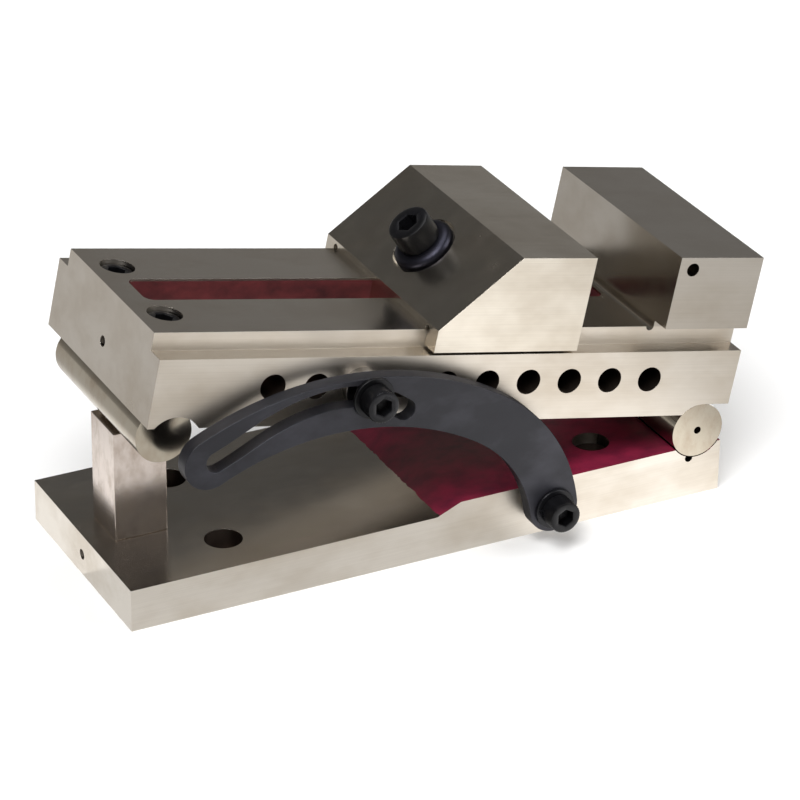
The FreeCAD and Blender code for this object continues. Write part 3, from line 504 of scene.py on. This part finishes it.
@dataclass(frozen=True)
class PolishedSteel:
    """Hardened steel, ground round or lapped flat, brighter than the ground castings.

    Attributes:
        name: the material's name.
        colour: the steel's own colour.
        roughness: the sheen where it is cleanest.
        line_size: the size of a polishing line along X, Y and Z in millimetres.
        line_depth: the depth of a polishing line in millimetres.
        stain: the colour of its faint stains.
    """

    name: str
    colour: str
    roughness: float
    line_size: tuple[float, float, float]
    line_depth: float = 0.0006
    stain: str = "#a08f7c"

    def build(self) -> bpy.types.Material:
        """Makes the material.

        Returns:
            The finished material.
        """
        material, graph = new_material(self.name)
        place = graph.add("TexCoord").outputs["Object"]
        lines = graph.noise(place, self.line_size, 2.0)
        stains = graph.noise(place, (6.0, 6.0, 9.0), 4.0, 0.6)
        colour = graph.mix(graph.remap(stains, 0.45, 0.75, 0.0, 0.6), rgb(self.colour), rgb(self.stain))
        rough = graph.remap(stains, 0.3, 0.8, self.roughness, self.roughness + 0.12)
        shader = graph.add("BsdfPrincipled", {"Base Color": colour, "Metallic": 1.0, "Roughness": rough,
                                              "Normal": graph.bump(lines, self.line_depth)})
        graph.add("OutputMaterial", {"Surface": shader.outputs[0]})
        LOG.info("finish %s: roughness %.2f", self.name, self.roughness)
        return material


@dataclass(frozen=True)
class BlackOxide:
    """Steel blackened in a hot oxide bath over a blasted surface.

    Attributes:
        name: the material's name.
        colour: the black's own colour.
        worn: the colour where handling has polished it.
        roughness: the sheen of the untouched surface.
        grain: the size of the blasted grain in millimetres.
    """

    name: str
    colour: str
    worn: str
    roughness: float
    grain: float = 0.35

    def build(self) -> bpy.types.Material:
        """Makes the material.

        Returns:
            The finished material.
        """
        material, graph = new_material(self.name)
        place = graph.add("TexCoord").outputs["Object"]
        grain = graph.noise(place, (self.grain, self.grain, self.grain), 2.0)
        rubs = graph.noise(place, (18.0, 8.0, 11.0), 4.0, 0.6)
        colour = graph.mix(graph.remap(rubs, 0.45, 0.75, 0.0, 1.0), rgb(self.colour), rgb(self.worn))
        rough = graph.remap(rubs, 0.35, 0.75, self.roughness + 0.08, self.roughness - 0.06)
        shader = graph.add("BsdfPrincipled", {"Base Color": colour, "Metallic": 0.55, "Roughness": rough,
                                              "Normal": graph.bump(grain, 0.006)})
        graph.add("OutputMaterial", {"Surface": shader.outputs[0]})
        LOG.info("finish %s: black oxide, grain %.2f mm", self.name, self.grain)
        return material


class Finishes:
    """Every finish of the vise, made once."""

    def __init__(self) -> None:
        # Grinding leaves long fine lines along the plate, which spread its reflections sideways.
        self.base = GroundSteel("ground_steel_base", Axis.BASE).build()
        # The same grinding on the body, with the red sealing paint left inside its slot.
        self.body = GroundSteel("ground_steel_body", Axis.BODY, colour="#d3ccc2",
                                paint="#6e3436", paint_dark="#452628").build()
        # The movable jaw is ground all over and has no paint.
        self.jaw = GroundSteel("ground_steel_jaw", Axis.BODY, colour="#e0d9cd", painted=False).build()
        # Ground rollers reflect like dull chrome, with rings round them.
        self.roller = PolishedSteel("roller_steel", "#b5ad9e", 0.12, (0.3, 25.0, 0.3)).build()
        # Gauge block steel: lapped almost to a mirror, a little pink beside the warm castings.
        self.block = PolishedSteel("lapped_block_steel", "#d8cdc6", 0.16, (0.4, 0.4, 30.0)).build()
        # The arm's blackened plate looks slate grey because its blasted grain scatters the light.
        self.arm = BlackOxide("black_oxide_arm", "#2b2b30", "#393940", 0.42).build()
        # Cap screws are blackened over a machined surface, so they are darker and shinier.
        self.screw = BlackOxide("black_oxide_screws", "#141416", "#232327", 0.3, 0.2).build()
        # Turned bushes and washers are left bare, with turning rings.
        self.turned = PolishedSteel("turned_steel", "#8f8b86", 0.28, (0.25, 8.0, 0.25), 0.002).build()
        # The seat of the jaw screw is blued spring steel.
        self.seat = PolishedSteel("blued_seat_steel", "#33333c", 0.36, (0.3, 0.3, 0.3), 0.001,
                                  stain="#262327").build()


@dataclass(frozen=True)
class Ring:
    """One ring of a turned piece.

    Attributes:
        height: where the ring lies along the axis, in millimetres.
        radius: the ring's radius in millimetres, or a function of its angle and height.
    """

    height: float
    radius: Union[float, RingRadius]


class Turned:
    """Makes a piece out of rings about an axis."""

    def __init__(self, segments: int) -> None:
        self.segments = segments

    def build(self, name: str, rings: Sequence[Ring], place: Matrix, hollow: bool = False) -> bpy.types.Object:
        """Builds the rings, joins them and closes the ends.

        Args:
            name: the piece's name.
            rings: the rings from one end to the other.
            place: where the piece's axis stands, in the row frame in metres.
            hollow: whether the last ring meets the first, as in a washer.

        Returns:
            The piece, added to the scene.
        """
        mesh_data = bmesh.new()
        start = bmesh.ops.create_circle(mesh_data, segments=self.segments, radius=1.0, cap_ends=False)
        loop = list(start["verts"])
        edges = list({edge for vertex in loop for edge in vertex.link_edges})
        self.shape(loop, rings[0])
        first_edges = edges
        for ring in rings[1:]:
            grown = bmesh.ops.extrude_edge_only(mesh_data, edges=edges)["geom"]
            loop = [item for item in grown if isinstance(item, bmesh.types.BMVert)]
            edges = [item for item in grown if isinstance(item, bmesh.types.BMEdge)]
            self.shape(loop, ring)
        if hollow:
            bmesh.ops.bridge_loops(mesh_data, edges=first_edges + edges)
        else:
            bmesh.ops.edgeloop_fill(mesh_data, edges=first_edges)
            bmesh.ops.edgeloop_fill(mesh_data, edges=edges)
        bmesh.ops.recalc_face_normals(mesh_data, faces=mesh_data.faces)
        bmesh.ops.transform(mesh_data, matrix=place @ Matrix.Scale(MM, 4), verts=mesh_data.verts)
        mesh = bpy.data.meshes.new(name)
        mesh_data.to_mesh(mesh)
        mesh_data.free()
        piece = bpy.data.objects.new(name, mesh)
        bpy.context.scene.collection.objects.link(piece)
        return piece

    @staticmethod
    def shape(loop: Sequence[bmesh.types.BMVert], ring: Ring) -> None:
        """Moves a loop of vertices onto a ring.

        Args:
            loop: the vertices.
            ring: the ring that they take.
        """
        for vertex in loop:
            angle = math.atan2(vertex.co.y, vertex.co.x)
            radius = ring.radius(angle, ring.height) if callable(ring.radius) else ring.radius
            vertex.co = Vector((radius * math.cos(angle), radius * math.sin(angle), ring.height))


def smooth(piece: bpy.types.Object, limit_deg: float = 32.0) -> None:
    """Shades a piece smooth except at its sharp edges.

    Args:
        piece: the piece.
        limit_deg: the angle at which an edge stays sharp.
    """
    piece.data.shade_smooth()
    piece.data.set_sharp_from_angle(angle=math.radians(limit_deg))


@dataclass(frozen=True)
class ScrewSize:
    """The sizes of a socket cap screw in millimetres.

    Attributes:
        shank: the thread's outer radius.
        head: the head's radius.
        head_height: the head's height.
        length: the length under the head.
        flats: the socket across its flats.
        pitch: the thread's pitch.
        plain: the unthreaded length under the head.
        knurls: the number of ridges round the head.
    """

    shank: float
    head: float
    head_height: float
    length: float
    flats: float
    pitch: float
    plain: float = 2.0
    knurls: int = 36


class CapScrew:
    """A socket cap screw with a knurled head and a cut thread."""

    segments = 72
    knurl_depth = 0.26
    knurl_rows = 5
    knurl_start = 0.5
    thread_steps = 4
    thread_share = 0.6
    point_length = 0.6
    point_share = 0.72
    root_share = 0.8
    fillet = 0.4
    edge = 0.45
    socket_share = 0.58
    socket_lead = 1.14
    drill_depth = 0.9

    def __init__(self, name: str, size: ScrewSize) -> None:
        self.name = name
        self.size = size

    def knurled(self, row: int) -> RingRadius:
        """Gives the radius of one row of the diamond knurling.

        Args:
            row: the row's number, from the seat upwards.

        Returns:
            A function of the angle and height that gives the radius.
        """
        size = self.size

        def radius(angle: float, height: float) -> float:
            wave = math.cos(angle * size.knurls + math.pi * row)
            return size.head - self.knurl_depth * (0.5 - 0.5 * wave)

        return radius

    def hexagon(self, angle: float, height: float) -> float:
        """Gives the radius of the hexagon socket.

        Args:
            angle: the angle about the axis.
            height: the height along the axis, which changes nothing.

        Returns:
            The distance from the axis to the socket's wall in millimetres.
        """
        sector = math.pi / 3.0
        off = (angle + sector / 2.0) % sector - sector / 2.0
        return self.size.flats / 2.0 / math.cos(off)

    def thread(self, angle: float, height: float) -> float:
        """Gives the radius of the thread.

        Args:
            angle: the angle about the axis.
            height: the height along the axis in millimetres.

        Returns:
            The distance from the axis to the thread's flank in millimetres.
        """
        turn = (height / self.size.pitch - angle / (2.0 * math.pi)) % 1.0
        return self.size.shank - self.thread_share * self.size.pitch * (1.0 - abs(2.0 * turn - 1.0))

    def rings(self) -> list[Ring]:
        """Lists the screw's rings from its tip to the bottom of its socket.

        Returns:
            The rings.
        """
        size = self.size
        tip = -size.length
        rings = [Ring(tip, size.shank * self.point_share),
                 Ring(tip + self.point_length, size.shank * self.root_share)]
        step = size.pitch / self.thread_steps
        height = tip + self.point_length + step
        while height < -size.plain - step:
            rings.append(Ring(height, self.thread))
            height += step
        rings += [Ring(-size.plain, size.shank), Ring(-0.3, size.shank),
                  Ring(-0.02, size.shank + self.fillet / 2.0), Ring(0.0, size.shank + self.fillet),
                  Ring(0.0, size.head - self.edge), Ring(0.25, size.head - 0.12)]
        low, high = self.knurl_start, size.head_height - self.edge
        for row in range(self.knurl_rows + 1):
            rings.append(Ring(low + (high - low) * row / self.knurl_rows, self.knurled(row)))
        top = size.head_height
        floor = top * (1.0 - self.socket_share)
        rings += [Ring(top - 0.2, size.head - 0.2), Ring(top, size.head - self.edge - 0.1),
                  Ring(top, lambda a, h: self.hexagon(a, h) * self.socket_lead), Ring(top - 0.18, self.hexagon),
                  Ring(floor, self.hexagon), Ring(floor, lambda a, h: self.hexagon(a, h) * 0.93),
                  Ring(floor - self.drill_depth, 0.12)]
        return rings

    def build(self, place: Matrix) -> bpy.types.Object:
        """Makes the screw with its seat at the place's origin and its head along local Z.

        Args:
            place: where the screw sits, in the row frame in metres.

        Returns:
            The screw, added to the scene.
        """
        screw = Turned(self.segments).build(self.name, self.rings(), place)
        smooth(screw, 38.0)
        LOG.info("piece %s: %d faces", self.name, len(screw.data.polygons))
        return screw


def stand(origin: Vector, direction: Vector) -> Matrix:
    """Gives the place of an axis.

    Args:
        origin: a point on the axis in metres.
        direction: the way that local Z points.

    Returns:
        The place as a matrix.
    """
    return Matrix.Translation(origin) @ direction.to_track_quat("Z", "Y").to_matrix().to_4x4()


def finish_node(frame: dict, name: str, material: bpy.types.Material, edge: float, segments: int = 2) -> None:
    """Gives a CAD node its finish and rounds its edges as grinding and tumbling do.

    Args:
        frame: the loaded frame.
        name: the node's name.
        material: its finish.
        edge: the width of the broken edges in millimetres.
        segments: the number of faces across a broken edge.
    """
    node = frame["nodes"][name]
    node.data.materials.clear()
    node.data.materials.append(material)
    weld = node.modifiers.new("weld", "WELD")
    weld.merge_threshold = 1e-6
    bevel = node.modifiers.new("broken_edges", "BEVEL")
    bevel.width = edge * MM
    bevel.segments = segments
    bevel.limit_method = "ANGLE"
    bevel.angle_limit = math.radians(31.0)
    bevel.profile = 0.5
    bevel.use_clamp_overlap = True
    bevel.harden_normals = False
    weighted = node.modifiers.new("even_shading", "WEIGHTED_NORMAL")
    weighted.mode = "FACE_AREA"
    weighted.weight = 50
    LOG.info("node %s: %s, edges %.2f mm", name, material.name, edge)


@dataclass
class BaseSize:
    """Sizes of the base's visible edges in millimetres."""

    plate_edge: float = 0.35
    lug_edge: float = 0.25


class Base:
    """The base plate with its hinge lug, screws and dowels."""

    def __init__(self, frame: dict, finishes: Finishes, size: BaseSize = BaseSize()) -> None:
        self.frame = frame
        self.finishes = finishes
        self.size = size

    def dress(self) -> None:
        """Finishes the base's nodes."""
        finish_node(self.frame, "base_plate", self.finishes.base, self.size.plate_edge)
        finish_node(self.frame, "hinge_lug", self.finishes.turned, self.size.lug_edge)
        finish_node(self.frame, "hinge_lug_screws", self.finishes.screw, 0.1, 1)
        finish_node(self.frame, "hinge_lug_dowels", self.finishes.roller, 0.2, 1)


@dataclass
class BedSize:
    """Sizes of the vise body's visible edges and screws in millimetres."""

    body_edge: float = 0.35
    roller_edge: float = 0.3
    seat_depth: float = 7.2
    roller_centres: float = 178.0
    bed_height: float = 32.2
    screw_offset: float = 17.0
    roller_screw: ScrewSize = ScrewSize(2.99, 5.0, 6.0, 26.0, 5.0, 1.0, plain=4.0)


class Bed:
    """The vise body with both rollers, their screws and the hinge pin."""

    def __init__(self, frame: dict, finishes: Finishes, size: BedSize = BedSize()) -> None:
        self.frame = frame
        self.finishes = finishes
        self.size = size

    def dress(self) -> None:
        """Finishes the vise body's nodes."""
        finish_node(self.frame, "vise_body", self.finishes.body, self.size.body_edge)
        for name in ("rest_roller", "hinge_roller_front", "hinge_roller_rear", "hinge_pin"):
            finish_node(self.frame, name, self.finishes.roller, self.size.roller_edge)
        finish_node(self.frame, "hinge_roller_screws", self.finishes.screw, 0.1, 1)

    def build(self) -> None:
        """Makes the two screws that hold the rest roller from above."""
        cosine, sine = math.cos(SINE_ANGLE), math.sin(SINE_ANGLE)
        along = -self.size.roller_centres
        above = self.size.bed_height - self.size.seat_depth
        for sign, side in ((-1, "front"), (1, "rear")):
            origin = Vector((HINGE_X + along * cosine + above * sine, sign * self.size.screw_offset,
                             HINGE_Z - along * sine + above * cosine)) * MM
            screw = CapScrew("rest_roller_screw_" + side, self.size.roller_screw)
            piece = screw.build(stand(origin, Vector((sine, 0.0, cosine))))
            piece.data.materials.append(self.finishes.screw)
            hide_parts("rest_roller_screws")
            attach(piece, "bed")


@dataclass
class JawSize:
    """Sizes of the movable jaw's visible edges in millimetres."""

    jaw_edge: float = 0.4
    keeper_edge: float = 0.3


class Jaw:
    """The movable jaw with its keeper."""

    def __init__(self, frame: dict, finishes: Finishes, size: JawSize = JawSize()) -> None:
        self.frame = frame
        self.finishes = finishes
        self.size = size

    def dress(self) -> None:
        """Finishes the movable jaw's nodes."""
        finish_node(self.frame, "movable_jaw", self.finishes.jaw, self.size.jaw_edge)
        finish_node(self.frame, "jaw_keeper", self.finishes.turned, self.size.keeper_edge)
        finish_node(self.frame, "jaw_keeper_screws", self.finishes.screw, 0.1, 1)
        finish_node(self.frame, "cross_nut", self.finishes.turned, self.size.keeper_edge)


@dataclass
class JawDriveSize:
    """Sizes of the jaw screw and its domed seat in millimetres."""

    screw: ScrewSize = ScrewSize(3.99, 6.5, 8.0, 55.0, 6.0, 1.25, plain=6.0, knurls=36)
    seat_radius: float = 9.5
    seat_bore: float = 4.3
    seat_land: float = 6.9
    seat_low: float = -1.5
    seat_high: float = 2.5
    dome_steps: int = 6


class JawDrive:
    """The slanting jaw screw and the domed washer under its head."""

    def __init__(self, frame: dict, finishes: Finishes, size: JawDriveSize = JawDriveSize()) -> None:
        self.frame = frame
        self.finishes = finishes
        self.size = size

    def build(self) -> None:
        """Makes the screw and the washer on the axis of the screw's joint."""
        joint = next(item for item in self.frame["joints"] if item["name"] == "jaw_screw_spin")
        origin = Vector(joint["pos_m"])
        out = -Vector(joint["axis"]).normalized()
        seat = Turned(72).build("jaw_seat_washer_domed", self.seat_rings(), stand(origin, out), hollow=True)
        smooth(seat)
        seat.data.materials.append(self.finishes.seat)
        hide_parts("jaw_seat_washer")
        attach(seat, "jaw")
        LOG.info("piece %s: %d faces", seat.name, len(seat.data.polygons))
        lifted = origin + out * self.size.seat_high * MM
        screw = CapScrew("jaw_screw_threaded", self.size.screw).build(stand(lifted, out))
        screw.data.materials.append(self.finishes.screw)
        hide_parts("jaw_screw")
        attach(screw, "jaw_driver")

    def seat_rings(self) -> list[Ring]:
        """Lists the washer's rings round its section.

        Returns:
            The rings, from the bore's foot round the outside to the bore's top.
        """
        size = self.size
        rings = [Ring(size.seat_low, size.seat_bore), Ring(size.seat_low, size.seat_radius - 0.3),
                 Ring(size.seat_low + 0.3, size.seat_radius), Ring(0.3, size.seat_radius)]
        for step in range(1, self.size.dome_steps + 1):
            turn = math.pi / 2.0 * step / self.size.dome_steps
            rings.append(Ring(0.3 + (size.seat_high - 0.3) * math.sin(turn),
                              size.seat_land + (size.seat_radius - size.seat_land) * math.cos(turn)))
        rings.append(Ring(size.seat_high, size.seat_bore))
        return rings


@dataclass
class LinkageSize:
    """Sizes of the locking arm's visible edges and screws in millimetres."""

    arm_edge: float = 0.8
    washer_edge: float = 0.2
    head_seat: float = -45.9
    clamp_screw: ScrewSize = ScrewSize(2.99, 5.0, 6.0, 20.0, 5.0, 1.0, plain=3.0)
    pivot_screw: ScrewSize = ScrewSize(2.99, 5.0, 6.0, 22.0, 5.0, 1.0, plain=8.0)


class Linkage:
    """The locking arm with its pivot, clamp screw, washers and anchor."""

    def __init__(self, frame: dict, finishes: Finishes, size: LinkageSize = LinkageSize()) -> None:
        self.frame = frame
        self.finishes = finishes
        self.size = size

    def dress(self) -> None:
        """Finishes the linkage's nodes."""
        finish_node(self.frame, "locking_arm", self.finishes.arm, self.size.arm_edge, 3)
        for name in ("clamp_washer", "pivot_washer"):
            finish_node(self.frame, name, self.finishes.screw, self.size.washer_edge)
        for name in ("clamp_anchor", "pivot_bush"):
            finish_node(self.frame, name, self.finishes.turned, self.size.washer_edge)

    def build(self) -> None:
        """Makes the clamp screw and the pivot screw on their joints' axes."""
        places = {item["name"]: item["pos_m"] for item in self.frame["joints"] if "pos_m" in item}
        jobs = (("clamp_screw_threaded", "clamp_screw", "clamp", places["clamp_spin"], self.size.clamp_screw),
                ("pivot_screw_threaded", "pivot_screw", "base", places["arm_swing"], self.size.pivot_screw))
        for name, node, body, place, size in jobs:
            origin = Vector((place[0], self.size.head_seat * MM, place[2]))
            piece = CapScrew(name, size).build(stand(origin, Vector((0.0, -1.0, 0.0))))
            piece.data.materials.append(self.finishes.screw)
            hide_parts(node)
            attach(piece, body)


class Block:
    """The setting block that gives the angle."""

    def __init__(self, frame: dict, finishes: Finishes) -> None:
        self.frame = frame
        self.finishes = finishes

    def dress(self) -> None:
        """Finishes the block's node."""
        finish_node(self.frame, "setting_block", self.finishes.block, 0.3)


@dataclass
class Lamp:
    """One soft lamp.

    Attributes:
        name: the lamp's name.
        place: where it hangs, in metres.
        target: what it points at, in metres.
        width: its side in metres.
        power: its power in watts.
        colour: its colour.
    """

    name: str
    place: tuple[float, float, float]
    target: tuple[float, float, float]
    width: float
    power: float
    colour: str = "#ffffff"

    def build(self) -> bpy.types.Object:
        """Hangs the lamp.

        Returns:
            The lamp's object.
        """
        data = bpy.data.lights.new(self.name, "AREA")
        data.shape = "SQUARE"
        data.size = self.width
        data.energy = self.power
        data.color = rgb(self.colour)[:3]
        lamp = bpy.data.objects.new(self.name, data)
        lamp.location = self.place
        aim = Vector(self.place) - Vector(self.target)
        lamp.rotation_euler = aim.to_track_quat("Z", "Y").to_euler()
        bpy.context.scene.collection.objects.link(lamp)
        return lamp


@dataclass
class StudioSize:
    """The camera's place and the studio's lights.

    Attributes:
        azimuth_deg: the camera's turn from the front to the left.
        elevation_deg: its height above the horizon.
        roll_deg: its turn about its own line of sight.
        distance: its distance from the target in millimetres.
        target: the point that it looks at in millimetres.
        lens: its focal length on a sensor 36 mm wide.
        floor_side: the floor's side in metres.
        horizon_level: the brightness at the horizon that reflections see.
        dark_level: the brightness above dark_height that reflections see.
        dark_height: the sine of the elevation from which the surroundings are dark.
        shade_slant: how far the floor's shading leans towards the left.
        shade_span: where the floor's shading starts and ends behind the vise, in metres.
        shade_levels: the floor's brightness at both ends of that.
        window_x: the middle of the bright patch in front of the vise, in metres.
        window_span: the distances from its middle at which the patch starts and ends to fade.
        window_levels: the floor's brightness inside and outside the patch.
        second_bounce: the share of the floor's brightness that a second reflection sees.
    """

    azimuth_deg: float = 27.357
    elevation_deg: float = 27.807
    roll_deg: float = 0.837
    distance: float = 1173.47
    target: tuple[float, float, float] = (12.155, 11.140, 27.720)
    lens: float = 172.25
    floor_side: float = 12.0
    horizon_level: float = 0.33
    dark_level: float = 0.07
    dark_height: float = 0.5
    shade_slant: float = 0.55
    shade_span: tuple[float, float] = (-0.2, -0.1)
    shade_levels: tuple[float, float] = (0.62, 1.2)
    window_x: float = 0.075
    window_span: tuple[float, float] = (0.026, 0.053)
    window_levels: tuple[float, float] = (1.75, 0.88)
    second_bounce: float = 0.33
    lamps: list[Lamp] = field(default_factory=lambda: [
        Lamp("key_left", (-0.9, -0.9, 1.9), (0.0, 0.0, 0.0), 1.3, 46.0),
        Lamp("fill_right", (1.5, -1.0, 1.3), (0.0, 0.0, 0.03), 1.2, 22.0),
        Lamp("top_back", (0.2, 0.5, 2.4), (0.0, 0.0, 0.0), 1.6, 22.0),
    ])


class Studio:
    """The floor, the world, the lamps and the camera."""

    def __init__(self, size: StudioSize = StudioSize()) -> None:
        self.size = size

    def build(self) -> None:
        """Sets up everything round the object."""
        self.world()
        self.floor()
        for lamp in self.size.lamps:
            lamp.build()
        self.camera()
        bpy.context.scene.view_settings.view_transform = "Standard"

    def world(self) -> None:
        """Makes the surroundings: white to the eye, and darker with height for reflections."""
        world = bpy.data.worlds.new("pale_studio")
        world.use_nodes = True
        bpy.context.scene.world = world
        graph = Graph(world.node_tree)
        direction = graph.add("TexCoord").outputs["Object"]
        height = graph.split(graph.add("VectorMath", {0: direction}, operation="NORMALIZE").outputs[0])["Z"]
        size = self.size
        level = graph.remap(height, 0.0, size.dark_height, size.horizon_level, size.dark_level)
        room = graph.add("Background", {"Color": rgb("#fffcf8"), "Strength": level}).outputs[0]
        white = graph.add("Background", {"Color": (1.0, 1.0, 1.0, 1.0), "Strength": 1.0}).outputs[0]
        seen = graph.add("LightPath").outputs["Is Camera Ray"]
        graph.add("OutputWorld", {"Surface": graph.add("MixShader", {0: seen, 1: room, 2: white}).outputs[0]})

    def floor(self) -> None:
        """Lays the pale floor, which reflections see brighter in front than behind."""
        mesh_data = bmesh.new()
        bmesh.ops.create_grid(mesh_data, x_segments=1, y_segments=1, size=self.size.floor_side / 2.0)
        mesh = bpy.data.meshes.new("floor")
        mesh_data.to_mesh(mesh)
        mesh_data.free()
        floor = bpy.data.objects.new("floor", mesh)
        bpy.context.scene.collection.objects.link(floor)
        material, graph = new_material("pale_floor")
        paper = graph.add("BsdfDiffuse", {"Color": rgb("#f7f7f7")}).outputs[0]
        parts = graph.split(graph.add("TexCoord").outputs["Object"])
        size = self.size
        along = graph.math("SUBTRACT", graph.math("MULTIPLY", parts["X"], size.shade_slant), parts["Y"])
        behind = graph.remap(along, *size.shade_span, *size.shade_levels, smooth=True)
        off_window = graph.math("ABSOLUTE", graph.math("SUBTRACT", parts["X"], size.window_x))
        ahead = graph.remap(off_window, *size.window_span, *size.window_levels, smooth=True)
        in_front = graph.math("LESS_THAN", parts["Y"], 0.0)
        change = graph.math("MULTIPLY", graph.math("SUBTRACT", ahead, behind), in_front)
        path = graph.add("LightPath").outputs
        fade = graph.remap(path["Glossy Depth"], 1.0, 2.0, 1.0, size.second_bounce)
        total = graph.math("MULTIPLY", graph.math("ADD", behind, change), fade)
        card = graph.add("Emission", {"Color": rgb("#fffdfa"), "Strength": total}).outputs[0]
        shader = graph.add("MixShader", {0: path["Is Glossy Ray"], 1: paper, 2: card}).outputs[0]
        graph.add("OutputMaterial", {"Surface": shader})
        floor.data.materials.append(material)

    def camera(self) -> None:
        """Puts the camera at the photograph's angle."""
        size = self.size
        azimuth, elevation, roll = (math.radians(v) for v in (size.azimuth_deg, size.elevation_deg, size.roll_deg))
        back = Vector((-math.sin(azimuth) * math.cos(elevation), -math.cos(azimuth) * math.cos(elevation),
                       math.sin(elevation)))
        right = Vector((0.0, 0.0, 1.0)).cross(back).normalized()
        up = back.cross(right)
        turned_right = right * math.cos(roll) + up * math.sin(roll)
        turned_up = up * math.cos(roll) - right * math.sin(roll)
        data = bpy.data.cameras.new("camera")
        data.sensor_width = 36.0
        data.lens = size.lens
        data.clip_start = 0.05
        data.clip_end = 50.0
        camera = bpy.data.objects.new("camera", data)
        turn = Matrix((turned_right, turned_up, back)).transposed().to_4x4()
        camera.matrix_world = Matrix.Translation(Vector(size.target) * MM + back * size.distance * MM) @ turn
        bpy.context.scene.collection.objects.link(camera)
        bpy.context.scene.camera = camera


def main() -> None:
    """Loads the frame, dresses and builds every sub-assembly and sets up the studio."""
    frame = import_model()
    finishes = Finishes()
    Base(frame, finishes).dress()
    bed = Bed(frame, finishes)
    bed.dress()
    bed.build()
    Jaw(frame, finishes).dress()
    JawDrive(frame, finishes).build()
    linkage = Linkage(frame, finishes)
    linkage.dress()
    linkage.build()
    Block(frame, finishes).dress()
    Studio().build()


if __name__ == "__main__":
    main()
